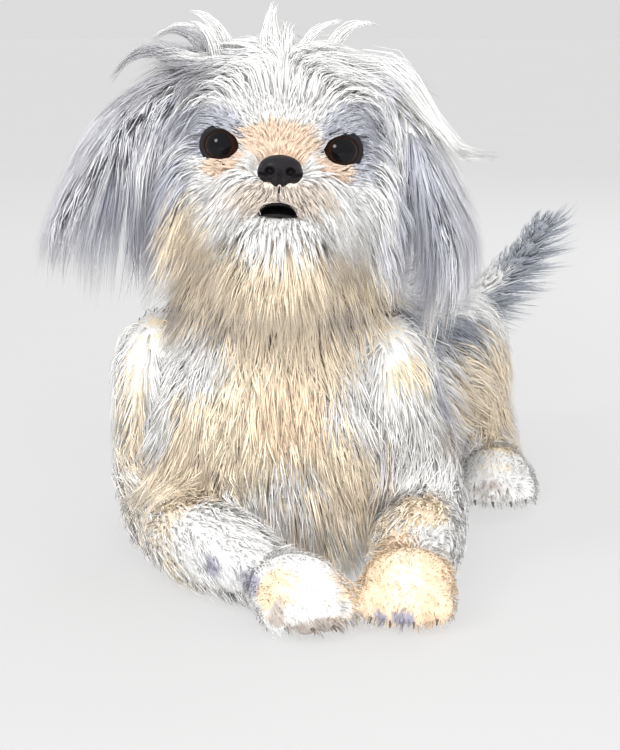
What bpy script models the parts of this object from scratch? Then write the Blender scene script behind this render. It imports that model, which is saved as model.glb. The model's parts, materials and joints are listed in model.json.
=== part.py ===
"""A Shih Tzu lying down, life size, with its breastbone on the floor, its forelegs out in front and its head up.

Units are metres. +Z is up, the dog looks along -Y and its left side is +X. The origin is on the floor
under the breastbone. Every node is a core, which is the flesh with the lower half of the coat, and the
locks of long coat that are rooted in it.
"""

import math
import random
from collections import namedtuple

import bmesh
import bpy
import numpy as np
from mathutils import Matrix, Vector

# Driving sizes of the dog, without its coat
SKULL_WIDTH = 0.092
EYE_SPACING = 0.0545
EYE_RADIUS = 0.0105
LID_THICKNESS = 0.0029
NOSE_WIDTH = 0.0212
CHEST_WIDTH = 0.130
CHEST_HEIGHT = 0.074
RUMP_WIDTH = 0.118
PAW_WIDTH = 0.041
TOE_RADII = (0.0068, 0.0105, 0.0098)

# How the head is carried: its centre, its turn to the left, the lift of the nose and its tilt
HEAD_PLACE = Vector((0.0125, -0.062, 0.207))
HEAD_YAW = math.radians(12.0)
HEAD_PITCH = math.radians(9.0)
HEAD_ROLL = math.radians(2.8)
HEAD = (
    Matrix.Translation(HEAD_PLACE)
    @ Matrix.Rotation(HEAD_YAW, 4, "Z")
    @ Matrix.Rotation(-HEAD_PITCH, 4, "X")
    @ Matrix.Rotation(HEAD_ROLL, 4, "Y")
)

# The tail leaves the rump and swings up to the left
TAIL_POINTS = (
    Vector((0.022, 0.247, 0.078)),
    Vector((0.046, 0.298, 0.082)),
    Vector((0.078, 0.312, 0.102)),
    Vector((0.094, 0.314, 0.133)),
)
TAIL_RADII = (0.0105, 0.0055)
TAIL_BEADS = 9
TORSO_ROWS = 7

# How the pieces are made and fitted
GAP = 0.0005
ROOT_DEPTH = 0.004
LEAST_CLEAR = 0.0012
LOCK_THICKNESS = 0.30
LEAST_THICKNESS = 0.0007
BLEND = 0.005

# How a lock leaves its root, turns with the lie of the coat and strays from it
LIFT = 0.7
TURN = 0.65
SWING = 0.16
CLOSE = 0.03

FLOOR_SIZE = 2.0
FLOOR_DEPTH = 0.1
SEED = 7

# The lower half of the coat, which each core holds over the flesh
CORE_DEPTH = {
    "head": 0.003,
    "muzzle": 0.0015,
    "jaw": 0.0015,
    "ear_left": 0.0010,
    "ear_right": 0.0010,
    "neck": 0.006,
    "torso": 0.006,
    "tail": 0.003,
    "foreleg_left": 0.0035,
    "foreleg_right": 0.0035,
    "forepaw_left": 0.002,
    "forepaw_right": 0.002,
    "hindleg_left": 0.004,
    "hindleg_right": 0.004,
    "hindpaw_left": 0.002,
    "hindpaw_right": 0.002,
}

# Faces that each core is reduced to, and the size of the cells that blend its forms
CORE_FACES = {
    "head": 440,
    "muzzle": 270,
    "jaw": 180,
    "ear_left": 155,
    "ear_right": 155,
    "neck": 150,
    "torso": 270,
    "tail": 112,
    "foreleg_left": 175,
    "foreleg_right": 175,
    "forepaw_left": 180,
    "forepaw_right": 180,
    "hindleg_left": 185,
    "hindleg_right": 185,
    "hindpaw_left": 145,
    "hindpaw_right": 145,
}
FINE_CELL = {"muzzle": 0.0018, "jaw": 0.0018, "head": 0.0028, "ear": 0.0020, "tail": 0.0020, "paw": 0.0022}
COARSE_CELL = 0.004

# The kinds of lock: length, width, how far the tip stands off the cores, and stretches along it
Kind = namedtuple("Kind", "length width rise steps")
KINDS = {
    "crown": Kind(0.042, 0.024, 0.012, 4),
    "brow": Kind(0.026, 0.017, 0.007, 3),
    "wisp": Kind(0.024, 0.008, 0.020, 3),
    "nape": Kind(0.050, 0.034, 0.007, 3),
    "cheek": Kind(0.044, 0.023, 0.006, 3),
    "moustache": Kind(0.027, 0.0135, 0.003, 3),
    "chin": Kind(0.022, 0.013, 0.002, 3),
    "beard": Kind(0.035, 0.017, 0.003, 3),
    "ear": Kind(0.058, 0.027, 0.005, 4),
    "neck": Kind(0.046, 0.032, 0.006, 3),
    "chest": Kind(0.046, 0.029, 0.006, 3),
    "back": Kind(0.052, 0.038, 0.007, 3),
    "rump": Kind(0.042, 0.030, 0.006, 3),
    "tail": Kind(0.032, 0.015, 0.004, 3),
    "leg": Kind(0.036, 0.024, 0.004, 3),
    "thigh": Kind(0.042, 0.029, 0.005, 3),
}
LOWEST_ROOT = 0.010

# Colours (red, green, blue) and roughness of the finishes
FINISHES = {
    "white_coat": ((0.88, 0.88, 0.86), 0.75),
    "cream_coat": ((0.88, 0.77, 0.60), 0.75),
    "grey_coat": ((0.42, 0.42, 0.47), 0.75),
    "black_leather": ((0.03, 0.026, 0.03), 0.35),
    "dark_eye": ((0.03, 0.018, 0.014), 0.08),
}
FINISH_OF = {
    "eye_left": "dark_eye",
    "eye_right": "dark_eye",
    "nose": "black_leather",
    "head": "white_coat",
    "muzzle": "white_coat",
    "jaw": "white_coat",
    "ear_left": "grey_coat",
    "ear_right": "grey_coat",
    "tail": "grey_coat",
}

HEAD_NODES = ("head", "muzzle", "jaw", "nose", "ear_left", "ear_right", "eye_left", "eye_right")


def place(node, point):
    """A point given in the head's own frame, or already in the dog's frame."""
    return HEAD @ Vector(point) if node in HEAD_NODES else Vector(point)


def aim(node, direction):
    """A direction given in the head's own frame, or already in the dog's frame."""
    return (HEAD.to_3x3() @ Vector(direction) if node in HEAD_NODES else Vector(direction)).normalized()


def bezier(points, t):
    """The point at share t of a cubic curve."""
    a, b, c, d = points
    s = 1.0 - t
    return a * s**3 + b * (3 * s * s * t) + c * (3 * s * t * t) + d * t**3


class Form:
    """One ellipsoid of flesh: which node it belongs to, its centre, radii and turn (degrees)."""

    def __init__(self, node, centre, radii, turn=(0.0, 0.0, 0.0)):
        rx, ry, rz = (math.radians(a) for a in turn)
        spin = Matrix.Rotation(rz, 3, "Z") @ Matrix.Rotation(rx, 3, "X") @ Matrix.Rotation(ry, 3, "Y")
        self.node = node
        self.centre = place(node, centre)
        self.axes = HEAD.to_3x3() @ spin if node in HEAD_NODES else spin
        self.radii = Vector(radii)

    def matrix(self, grow):
        size = Matrix.Diagonal([*(r + grow for r in self.radii), 1.0])
        return Matrix.Translation(self.centre) @ self.axes.to_4x4() @ size


def both(make_node, centre, radii, turn=(0.0, 0.0, 0.0), middle=0.0):
    """The left form and its mirror image across the plane x = middle."""
    x, y, z = centre
    rx, ry, rz = turn
    return [
        Form(make_node("left"), (x, y, z), radii, turn),
        Form(make_node("right"), (2 * middle - x, y, z), radii, (rx, -ry, -rz)),
    ]


def one(node):
    """Names the same node for the left and the right form."""
    return lambda side: node


def sided(name):
    """Names NAME_left and NAME_right."""
    return lambda side: f"{name}_{side}"


def head_forms():
    half = SKULL_WIDTH / 2
    pad = NOSE_WIDTH * 0.56
    return [
        Form("head", (0, 0.010, 0.010), (half, 0.048, 0.040)),
        Form("head", (0, 0.034, -0.016), (0.036, 0.026, 0.032)),
        Form("head", (0, -0.002, -0.030), (0.031, 0.030, 0.020)),
        Form("head", (0, -0.030, -0.005), (0.015, 0.014, 0.014)),
        *both(one("head"), (0.019, -0.0205, 0.0160), (0.019, 0.016, 0.0135)),
        *both(one("head"), (0.0288, -0.0185, 0.0010), (0.0140, 0.0112, 0.0130)),
        *both(one("head"), (0.032, -0.010, -0.0165), (0.019, 0.025, 0.021)),
        Form("muzzle", (0, -0.040, -0.0165), (0.021, 0.018, 0.0115)),
        *both(one("muzzle"), (pad, -0.0455, -0.0200), (0.0140, 0.0125, 0.0105), (0, 18, 12)),
        Form("jaw", (0, -0.0400, -0.0385), (0.0165, 0.0140, 0.0098)),
        Form("jaw", (0, -0.0240, -0.0350), (0.0210, 0.0190, 0.0120)),
        Form("nose", (0, -0.0545, -0.0112), (NOSE_WIDTH / 2, 0.0076, 0.0080)),
        Form("ear_left", (0.047, 0.008, 0.026), (0.013, 0.018, 0.010), (0, 35, 0)),
        Form("ear_left", (0.062, 0.010, 0.010), (0.006, 0.023, 0.021), (0, -26, 0)),
        Form("ear_left", (0.072, 0.011, -0.014), (0.005, 0.021, 0.021), (0, -17, 0)),
        Form("ear_right", (-0.048, 0.006, 0.028), (0.015, 0.019, 0.009), (0, -22, 0)),
        Form("ear_right", (-0.068, 0.008, 0.015), (0.006, 0.023, 0.021), (0, 46, 0)),
        Form("ear_right", (-0.084, 0.009, -0.006), (0.005, 0.021, 0.020), (0, 34, 0)),
    ]


def trunk_forms():
    half = CHEST_WIDTH / 2
    return [
        Form("neck", (0.0085, -0.030, 0.168), (0.040, 0.040, 0.036)),
        Form("neck", (0.003, -0.012, 0.138), (0.048, 0.047, 0.040)),
        Form("torso", (0, 0.018, CHEST_HEIGHT), (half, 0.082, 0.074)),
        Form("torso", (0, 0.034, 0.106), (0.046, 0.056, 0.034)),
        Form("torso", (0, -0.034, 0.066), (0.052, 0.038, 0.060)),
        Form("torso", (0.008, 0.114, 0.064), (0.058, 0.084, 0.058)),
        Form("torso", (0.018, 0.202, 0.062), (RUMP_WIDTH / 2, 0.068, 0.056)),
        *(
            Form("tail", bezier(TAIL_POINTS, t), [tail_radius(t)] * 3)
            for t in (i / (TAIL_BEADS - 1) for i in range(TAIL_BEADS))
        ),
    ]


def tail_radius(t):
    thick, thin = TAIL_RADII
    return thick + (thin - thick) * t


def leg_forms():
    left, right = "foreleg_left", "foreleg_right"
    return [
        Form(left, (0.054, -0.012, 0.082), (0.023, 0.036, 0.044), (18, 8, 0)),
        Form(left, (0.065, -0.004, 0.048), (0.021, 0.028, 0.034)),
        Form(left, (0.075, -0.018, 0.026), (0.0185, 0.026, 0.022)),
        Form(left, (0.080, -0.064, 0.022), (0.0185, 0.054, 0.019), (0, 0, 4)),
        Form(right, (-0.054, -0.018, 0.082), (0.023, 0.036, 0.044), (22, -8, 0)),
        Form(right, (-0.055, -0.028, 0.048), (0.021, 0.028, 0.034)),
        Form(right, (-0.046, -0.046, 0.026), (0.0195, 0.026, 0.022), (0, 0, 20)),
        Form(right, (-0.014, -0.094, 0.022), (0.0185, 0.056, 0.019), (0, 0, 42)),
        *paw_forms("forepaw_left", (0.085, -0.124), 4),
        *paw_forms("forepaw_right", (0.037, -0.146), 38),
        *both(sided("hindleg"), (0.059, 0.204, 0.060), (0.026, 0.056, 0.048), middle=0.018),
        *both(sided("hindleg"), (0.068, 0.166, 0.040), (0.021, 0.026, 0.028), middle=0.018),
        *both(sided("hindleg"), (0.074, 0.196, 0.022), (0.0175, 0.044, 0.019), (0, 0, 4), middle=0.018),
        *both(sided("hindleg"), (0.078, 0.182, 0.017), (0.0160, 0.038, 0.0155), (0, 0, 14), middle=0.018),
        *paw_forms("hindpaw_left", (0.091, 0.138), 15, 0.92),
        *paw_forms("hindpaw_right", (-0.055, 0.142), -15, 0.92),
    ]


def paw_forms(node, centre, turn, size=1.0):
    """A paw seen from above at its centre, with four toes across its front."""
    x, y = centre
    half = PAW_WIDTH / 2 * size
    spin = Matrix.Rotation(math.radians(turn), 3, "Z")
    forms = [Form(node, (x, y, 0.0165 * size), (half, 0.026 * size, 0.0165 * size), (0, 0, turn))]
    for share, reach in ((-0.74, 0.012), (-0.26, 0.0185), (0.26, 0.0185), (0.74, 0.012)):
        offset = spin @ Vector((share * half, -reach * size, 0))
        toe = [radius * size for radius in TOE_RADII]
        forms.append(Form(node, (x + offset.x, y + offset.y, 0.0105 * size), toe, (0, 0, turn)))
    return forms


FORMS = head_forms() + trunk_forms() + leg_forms()


class Surface:
    """The outside of all the cores together, as a distance that any point can be measured by."""

    def __init__(self, forms):
        self.nodes = [f.node for f in forms]
        grow = np.array([CORE_DEPTH.get(f.node, 0.0) for f in forms])
        self.centres = np.array([f.centre for f in forms])
        self.axes = np.array([f.axes for f in forms])
        self.radii = np.array([f.radii for f in forms]) + grow[:, None]

    def measure(self, point):
        """Distance outside the cores, the direction away from them, and the node that is nearest."""
        local = np.einsum("nji,nj->ni", self.axes, np.array(point) - self.centres)
        scaled = local / self.radii
        k = np.maximum(np.linalg.norm(scaled, axis=1), 1e-6)
        steep = scaled / self.radii
        steepness = np.maximum(np.linalg.norm(steep, axis=1), 1e-6)
        distance = k * (k - 1) / steepness
        away = np.einsum("nij,nj->ni", self.axes, steep / steepness[:, None])
        share = np.exp(-(distance - distance.min()) / BLEND)
        normal = (away * share[:, None]).sum(0)
        blended = distance.min() - BLEND * math.log(share.sum())
        return blended, Vector(normal).normalized(), self.nodes[int(distance.argmin())]


SURFACE = Surface(FORMS)


def linked(name, mesh):
    obj = bpy.data.objects.new(name, mesh)
    bpy.context.scene.collection.objects.link(obj)
    return obj


def settle(obj):
    """Applies all of an object's modifiers."""
    graph = bpy.context.evaluated_depsgraph_get()
    mesh = bpy.data.meshes.new_from_object(obj.evaluated_get(graph))
    obj.modifiers.clear()
    old, obj.data = obj.data, mesh
    bpy.data.meshes.remove(old)
    return obj


def remove(obj):
    mesh = obj.data
    bpy.data.objects.remove(obj)
    bpy.data.meshes.remove(mesh)


def ellipsoid(name, matrix, segments=24, rings=14):
    bm = bmesh.new()
    bmesh.ops.create_uvsphere(bm, u_segments=segments, v_segments=rings, radius=1.0, matrix=matrix)
    mesh = bpy.data.meshes.new(name)
    bm.to_mesh(mesh)
    bm.free()
    return linked(name, mesh)


def core(node):
    """Blends a node's forms into one body: they are joined, gone over with fine cells, smoothed and thinned."""
    bm = bmesh.new()
    for form in FORMS:
        if form.node == node:
            matrix = form.matrix(CORE_DEPTH[node])
            bmesh.ops.create_uvsphere(bm, u_segments=28, v_segments=18, radius=1.0, matrix=matrix)
    mesh = bpy.data.meshes.new(node)
    bm.to_mesh(mesh)
    bm.free()
    obj = linked(node, mesh)
    cells = obj.modifiers.new("cells", "REMESH")
    cells.mode = "VOXEL"
    cells.voxel_size = next((size for part, size in FINE_CELL.items() if part in node), COARSE_CELL)
    soften = obj.modifiers.new("soften", "SMOOTH")
    soften.factor = 0.5
    soften.iterations = 5
    settle(obj)
    thin = obj.modifiers.new("thin", "DECIMATE")
    thin.ratio = min(1.0, CORE_FACES[node] / (2 * len(obj.data.polygons)))
    return settle(obj)


def loft(name, rings, tip):
    """A closed body through a row of rings, each a list of points, that ends at one point."""
    bm = bmesh.new()
    loops = [[bm.verts.new(point) for point in ring] for ring in rings]
    end = bm.verts.new(tip)
    count = len(loops[0])
    bm.faces.new(list(reversed(loops[0])))
    for lower, upper in zip(loops, loops[1:]):
        for i in range(count):
            j = (i + 1) % count
            bm.faces.new((lower[i], lower[j], upper[j], upper[i]))
    for i in range(count):
        bm.faces.new((loops[-1][i], loops[-1][(i + 1) % count], end))
    bmesh.ops.recalc_face_normals(bm, faces=bm.faces)
    bmesh.ops.triangulate(bm, faces=bm.faces)
    mesh = bpy.data.meshes.new(name)
    bm.to_mesh(mesh)
    bm.free()
    return linked(name, mesh)


class Locks:
    """The locks of one node, kept in a collection of their own until they are fused."""

    def __init__(self, node):
        self.node = node
        self.draw = random.Random(f"{SEED} {node}")
        self.collection = bpy.data.collections.new(f"{node}_locks")

    def root(self, start, outward):
        """Where a line from inside the flesh comes out of the cores, or None where another node is there."""
        point, step = Vector(start), Vector(outward).normalized()
        for _ in range(60):
            distance, normal, node = SURFACE.measure(point)
            if distance > -0.0002:
                break
            point += step * max(-distance * 0.7, 0.0004)
        return (point, normal) if node == self.node else (None, None)

    def lay(self, root, normal, lie, kind):
        """Lays one lock from its root along lie(point), which gives the way the coat falls there."""
        vary = self.draw.uniform
        length = kind.length * vary(0.86, 1.12)
        width = kind.width * vary(0.9, 1.12)
        swing = vary(-SWING, SWING)
        point = root - normal * ROOT_DEPTH
        heading = (lie(root).normalized() + normal * LIFT).normalized()
        path, normals = [point.copy()], [normal]
        for i in range(1, kind.steps + 1):
            t = i / kind.steps
            wanted = lie(point).normalized()
            wanted = (wanted + normals[-1].cross(wanted) * swing).normalized()
            heading = heading.lerp(wanted, TURN).normalized()
            point = point + heading * (length / kind.steps)
            distance, away, _ = SURFACE.measure(point)
            clear = LEAST_CLEAR + kind.rise * t
            if distance < clear:
                point = point + away * (clear - distance)
            close = max(0.0, 1.0 - max(distance, 0.0) / CLOSE)
            path.append(point.copy())
            normals.append(normals[-1].lerp(away, 0.35 + 0.5 * close).normalized())
        self.add(path, normals, width)

    def add(self, path, normals, width):
        """A flat lock along a path: lens-shaped sections that widen a little and then run to a point."""
        rings = []
        count = len(path) - 1
        for i in range(count):
            t = i / count
            along = (path[i + 1] - path[max(i - 1, 0)]).normalized()
            across = along.cross(normals[i]).normalized()
            up = across.cross(along).normalized()
            half = 0.5 * width * (0.62 + 0.9 * t) * (1.0 - t) ** 0.55 if t > 0 else 0.28 * width
            deep = max(half * LOCK_THICKNESS, LEAST_THICKNESS)
            centre = path[i] - up * deep * 0.35
            rings.append([centre - across * half, centre + across * half, centre + up * deep * 1.35])
        obj = loft(f"{self.node}_lock", rings, path[-1])
        bpy.context.scene.collection.objects.unlink(obj)
        self.collection.objects.link(obj)

    def fuse(self, obj):
        """One union of the core with all the locks."""
        if self.collection.objects:
            join = obj.modifiers.new("join", "BOOLEAN")
            join.operation = "UNION"
            join.operand_type = "COLLECTION"
            join.collection = self.collection
            join.solver = "MANIFOLD"
            settle(obj)
        for lock in list(self.collection.objects):
            remove(lock)
        bpy.data.collections.remove(self.collection)
        return keep_largest(obj)


def keep_largest(obj):
    """Keeps only the closed surface with the most volume."""
    bm = bmesh.new()
    bm.from_mesh(obj.data)
    bm.faces.ensure_lookup_table()
    seen, shells = set(), []
    for face in bm.faces:
        if face.index in seen:
            continue
        shell, stack = [], [face]
        seen.add(face.index)
        while stack:
            current = stack.pop()
            shell.append(current)
            for edge in current.edges:
                for other in edge.link_faces:
                    if other.index not in seen:
                        seen.add(other.index)
                        stack.append(other)
        shells.append(shell)
    if len(shells) > 1:
        shells.sort(key=shell_volume)
        drop = [face for shell in shells[:-1] for face in shell]
        bmesh.ops.delete(bm, geom=drop, context="FACES")
        loose = [vert for vert in bm.verts if not vert.link_faces]
        bmesh.ops.delete(bm, geom=loose, context="VERTS")
    bm.to_mesh(obj.data)
    bm.free()
    return obj


def shell_volume(faces):
    total = 0.0
    for face in faces:
        first, *rest = [vert.co for vert in face.verts]
        for b, c in zip(rest, rest[1:]):
            total += first.dot(b.cross(c)) / 6.0
    return abs(total)


def cut(obj, cutter, solver="MANIFOLD"):
    """Cuts one mesh from another and keeps the main piece."""
    tool = obj.modifiers.new("cut", "BOOLEAN")
    tool.operation = "DIFFERENCE"
    tool.object = cutter
    tool.solver = solver
    settle(obj)
    return keep_largest(obj)


def swollen(obj):
    """A copy of a body that is larger all round by the gap."""
    copy = linked(f"{obj.name}_swollen", obj.data.copy())
    grow = copy.modifiers.new("grow", "DISPLACE")
    grow.strength = GAP
    grow.mid_level = 0.0
    return settle(copy)


def near(a, b):
    """Whether the boxes round two bodies meet."""
    corners = []
    for obj in (a, b):
        points = np.array([v.co for v in obj.data.vertices])
        corners.append((points.min(0) - 2 * GAP, points.max(0)))
    (low_a, high_a), (low_b, high_b) = corners
    return bool((low_a < high_b).all() and (low_b < high_a).all())


def floor_block():
    size = Matrix.Diagonal((FLOOR_SIZE, FLOOR_SIZE, FLOOR_DEPTH, 1.0))
    bm = bmesh.new()
    bmesh.ops.create_cube(bm, size=1.0, matrix=Matrix.Translation((0, 0, -FLOOR_DEPTH / 2)) @ size)
    mesh = bpy.data.meshes.new("floor_block")
    bm.to_mesh(mesh)
    bm.free()
    block = linked("floor_block", mesh)
    block.hide_render = True
    block.display_type = "WIRE"
    return block


def clear_scene():
    for obj in list(bpy.data.objects):
        bpy.data.objects.remove(obj)


def spine_x(y):
    """The spine bends a little to the left towards the rump."""
    return 0.018 * min(max((y - 0.02) / 0.19, 0.0), 1.0)


def clamp(value, low=-1.0, high=1.0):
    return min(max(value, low), high)


def torso_lie(point):
    side = (point.x - spine_x(point.y)) / 0.07
    front = clamp((0.0 - point.y) / 0.05, 0.0, 1.0)
    back = Vector((0.5 * side, 0.8, -0.2 - 0.85 * abs(side)))
    chest = Vector((0.5 * side, -0.2, -1.0))
    return back.lerp(chest, front)


def neck_lie(point):
    side = (point.x - 0.005) / 0.05
    front = clamp((-0.005 - point.y) / 0.03, 0.0, 1.0)
    return Vector((0.5 * side, 0.7, -0.7)).lerp(Vector((0.45 * side, -0.35, -1.0)), front)


def head_lie(point):
    q = HEAD.inverted() @ point
    out = clamp(q.x / 0.022)
    top = clamp((q.z - 0.018) / 0.02, 0.0, 1.0)
    face = clamp((-0.012 - q.y) / 0.02, 0.0, 1.0)
    crown = Vector((1.0 * out, 0.25 - 0.35 * face, 0.15 - 0.75 * abs(out)))
    cheek = Vector((0.35 * out, 0.25 - 0.3 * face, -1.0))
    return HEAD.to_3x3() @ cheek.lerp(crown, top)


def muzzle_lie(point):
    q = HEAD.inverted() @ point
    return HEAD.to_3x3() @ Vector((clamp(q.x / 0.012) * 0.75, 0.15, -0.8))


def jaw_lie(point):
    q = HEAD.inverted() @ point
    return HEAD.to_3x3() @ Vector((q.x / 0.05, -0.05, -1.0))


def ear_right_lie(point):
    q = HEAD.inverted() @ point
    high = clamp((q.z + 0.004) / 0.035, 0.0, 1.0)
    return HEAD.to_3x3() @ Vector((-0.32, 0.02, -1.0)).lerp(Vector((-1.0, 0.0, -0.40)), high)


def ear_left_lie(point):
    q = HEAD.inverted() @ point
    high = clamp((q.z - 0.005) / 0.03, 0.0, 1.0)
    return HEAD.to_3x3() @ Vector((0.12, -0.05, -1.0)).lerp(Vector((0.85, -0.05, -0.60)), high)


def tail_lie(point):
    t = tail_share(point)
    along = (bezier(TAIL_POINTS, min(t + 0.05, 1.0)) - bezier(TAIL_POINTS, max(t - 0.05, 0.0))).normalized()
    return along * 0.9 + Vector((0.35, 0.25, -0.35 * (1 - t)))


def tail_share(point):
    """How far along the tail the nearest point of its curve is."""
    shares = [i / 20 for i in range(21)]
    return min(shares, key=lambda t: (bezier(TAIL_POINTS, t) - point).length)


def leg_lie(forward, down=0.35):
    """Hair on a leg falls along it and a little down."""
    ahead = Vector(forward).normalized()

    def lie(point):
        high = clamp((point.z - 0.045) / 0.03, 0.0, 1.0)
        return (ahead - Vector((0, 0, down))).lerp(Vector((0, 0.35, -1.0)), high)

    return lie


def around(count, first=0.0, last=360.0):
    """Angles spread evenly from the first to the last."""
    closed = abs(last - first) >= 360.0
    steps = count if closed else count - 1
    return [first + (last - first) * i / steps for i in range(count)]


def facing(azimuth, elevation):
    """A direction by its azimuth from straight ahead, positive to the left side, and its elevation."""
    a, e = math.radians(azimuth), math.radians(elevation)
    return (math.sin(a) * math.cos(e), -math.cos(a) * math.cos(e), math.sin(e))


def fan(azimuths, elevation):
    """Directions at one elevation."""
    return [facing(azimuth, elevation) for azimuth in azimuths]


def hoop(angles, lean=0.05):
    """Directions round the length of the dog, by their angle from straight up, positive to the left side."""
    turns = [math.radians(angle) for angle in angles]
    return [(math.sin(turn), lean, math.cos(turn)) for turn in turns]


def mirrored(azimuths, elevation):
    """The same directions to the left and to the right."""
    return fan([side * azimuth for side in (-1, 1) for azimuth in azimuths], elevation)


# Locks of one kind, rooted where lines from one inner point come out of the cores
Spray = namedtuple("Spray", "kind start directions")


def torso_sprays():
    sprays = []
    for row in range(TORSO_ROWS):
        y = 0.014 + 0.036 * row
        shift = 14 if row % 2 else 0
        lean = 0.1 + 0.7 * clamp((y - 0.19) / 0.05, 0.0, 1.0)
        angles = [angle + shift for angle in range(-104, 105, 32)]
        sprays.append(Spray("back", (spine_x(y), y, 0.060), hoop(angles, lean)))
    for elevation in (0, 28):
        sprays.append(Spray("rump", (0.018, 0.212, 0.060), fan(around(4, 150, 225), elevation)))
    for count, elevation, spread in ((4, 28, 62), (5, 4, 58), (4, -18, 50), (5, -38, 40)):
        sprays.append(Spray("chest", (0.0, -0.010, 0.080), fan(around(count, -spread, spread), elevation)))
    return sprays


def neck_sprays():
    middle = (0.006, -0.018, 0.145)
    return [
        Spray("neck", middle, fan(around(10, -150, 174), -8)),
        Spray("neck", middle, fan(around(5, 125, 235), 22)),
        Spray("neck", middle, fan(around(4, 140, 220), 50)),
    ]


def head_sprays():
    middle = (0.0, 0.004, 0.004)
    return [
        Spray("crown", middle, fan(around(5, -40, 280), 80)),
        Spray("crown", middle, fan(around(8, -22, 293), 57)),
        Spray("brow", middle, fan((-27, 0, 27), 40)),
        Spray("nape", middle, fan(around(4, 125, 235), 30)),
        Spray("nape", middle, fan(around(4, 120, 240), -2)),
        Spray("nape", (0.0, 0.020, -0.012), fan(around(4, 120, 240), -30)),
        Spray("cheek", middle, mirrored((66, 88), 8)),
        Spray("cheek", middle, mirrored((47, 70, 94), -16)),
        Spray("cheek", middle, mirrored((40, 62, 86), -40)),
        Spray("cheek", (0.0, -0.008, -0.024), mirrored((34, 66), -50)),
    ]


def muzzle_sprays():
    places = ((42, 30), (72, 22), (98, 8), (30, -14), (56, -16), (84, -20))
    return [
        Spray("moustache", (side * 0.010, -0.036, -0.017), fan([side * azimuth], elevation))
        for side in (-1, 1)
        for azimuth, elevation in places
    ]


def jaw_sprays():
    middle = (0.0, -0.030, -0.036)
    return [
        Spray("chin", middle, fan((-30, 0, 30), -16)),
        Spray("beard", middle, fan(around(7, -78, 78), -42)),
    ]


def ear_sprays(side):
    """Rows down the outer face of the flap and along its edges. The right ear is blown outwards."""
    sprays = []
    spread = 0.034 if side < 0 else 0.020
    for row in range(4):
        down = row / 3
        for column in range(4):
            across = (column - 1.5) / 1.5
            start = (side * (0.050 + spread * down), 0.009 + 0.016 * across, 0.028 - 0.046 * down)
            outward = (side * (0.55 + 0.45 * down), 0.30 * across - 0.1, 0.9 - 0.9 * down)
            sprays.append(Spray("ear", start, [outward]))
    return sprays


def tail_sprays():
    sprays = []
    for i in range(TAIL_BEADS):
        t = 0.12 + 0.82 * i / (TAIL_BEADS - 1)
        turns = [math.radians(angle) for angle in ((-30, 60, 150) if i % 2 else (10, 100))]
        directions = [(math.cos(turn) * 0.6, math.sin(turn), -math.cos(turn)) for turn in turns]
        sprays.append(Spray("tail", bezier(TAIL_POINTS, t), directions))
    return sprays


def foreleg_sprays(upper, lower):
    """Locks round the upper arm and the forearm, each given by the two ends of the line through it."""
    sprays = []
    for ends, count in ((upper, 3), (lower, 2)):
        for row, start in enumerate(line_points(*ends, count)):
            shift = 20 if row % 2 else 0
            sprays.append(Spray("leg", start, hoop([angle + shift for angle in (-75, -30, 15, 60)])))
    return sprays


def hindleg_sprays(side):
    angles = [side * angle for angle in (30, 62, 95)]
    return [Spray("thigh", (0.018 + side * 0.050, y, 0.050), hoop(angles)) for y in (0.226, 0.190, 0.156)]


def line_points(start, end, count):
    a, b = Vector(start), Vector(end)
    return [a.lerp(b, i / (count - 1)) for i in range(count)]


SPRAYS = {
    "torso": torso_sprays(),
    "neck": neck_sprays(),
    "head": head_sprays(),
    "muzzle": muzzle_sprays(),
    "jaw": jaw_sprays(),
    "ear_left": ear_sprays(1),
    "ear_right": ear_sprays(-1),
    "tail": tail_sprays(),
    "foreleg_left": foreleg_sprays(
        ((0.060, -0.006, 0.080), (0.074, -0.020, 0.026)),
        ((0.078, -0.045, 0.022), (0.083, -0.085, 0.020)),
    ),
    "foreleg_right": foreleg_sprays(
        ((-0.058, -0.014, 0.080), (-0.048, -0.044, 0.028)),
        ((-0.030, -0.078, 0.022), (-0.002, -0.108, 0.020)),
    ),
    "hindleg_left": hindleg_sprays(1),
    "hindleg_right": hindleg_sprays(-1),
}
LIES = {
    "torso": torso_lie,
    "neck": neck_lie,
    "head": head_lie,
    "muzzle": muzzle_lie,
    "jaw": jaw_lie,
    "ear_left": ear_left_lie,
    "ear_right": ear_right_lie,
    "tail": tail_lie,
    "foreleg_left": leg_lie((0.0, -1.0, 0.0)),
    "foreleg_right": leg_lie((0.7, -0.7, 0.0)),
    "hindleg_left": leg_lie((0.1, -0.4, -0.5)),
    "hindleg_right": leg_lie((-0.1, -0.4, -0.5)),
}


def dress(node):
    """Lays the locks of a node and returns them."""
    locks = Locks(node)
    for spray in SPRAYS.get(node, ()):
        for direction in spray.directions:
            root, normal = locks.root(place(node, spray.start), aim(node, direction))
            if root is not None and root.z > LOWEST_ROOT:
                locks.lay(root, normal, LIES[node], KINDS[spray.kind])
    if node == "head":
        wisps(locks)
        for side in (-1, 1):
            lids(side, locks.collection)
    return locks


def wisps(locks):
    """Three thin locks that stand up on the crown."""
    for azimuth, lean in ((-38, -0.5), (-4, -0.15), (26, 0.5)):
        root, normal = locks.root(place("head", (0.0, 0.004, 0.004)), aim("head", facing(azimuth, 72)))
        up = aim("head", (lean, -0.05, 0.9))
        locks.lay(root, normal, lambda point: up, KINDS["wisp"])


def eye(side):
    name = "eye_left" if side > 0 else "eye_right"
    matrix = HEAD @ Matrix.Translation(eye_place(side)) @ Matrix.Scale(EYE_RADIUS, 4)
    return ellipsoid(name, matrix, 14, 9)


def eye_place(side):
    return Vector((side * EYE_SPACING / 2, -0.0262, 0.0010))


def eye_turn(side):
    """The eye looks ahead and a little outwards."""
    return Matrix.Rotation(math.radians(side * 9.0), 4, "Z")


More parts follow.
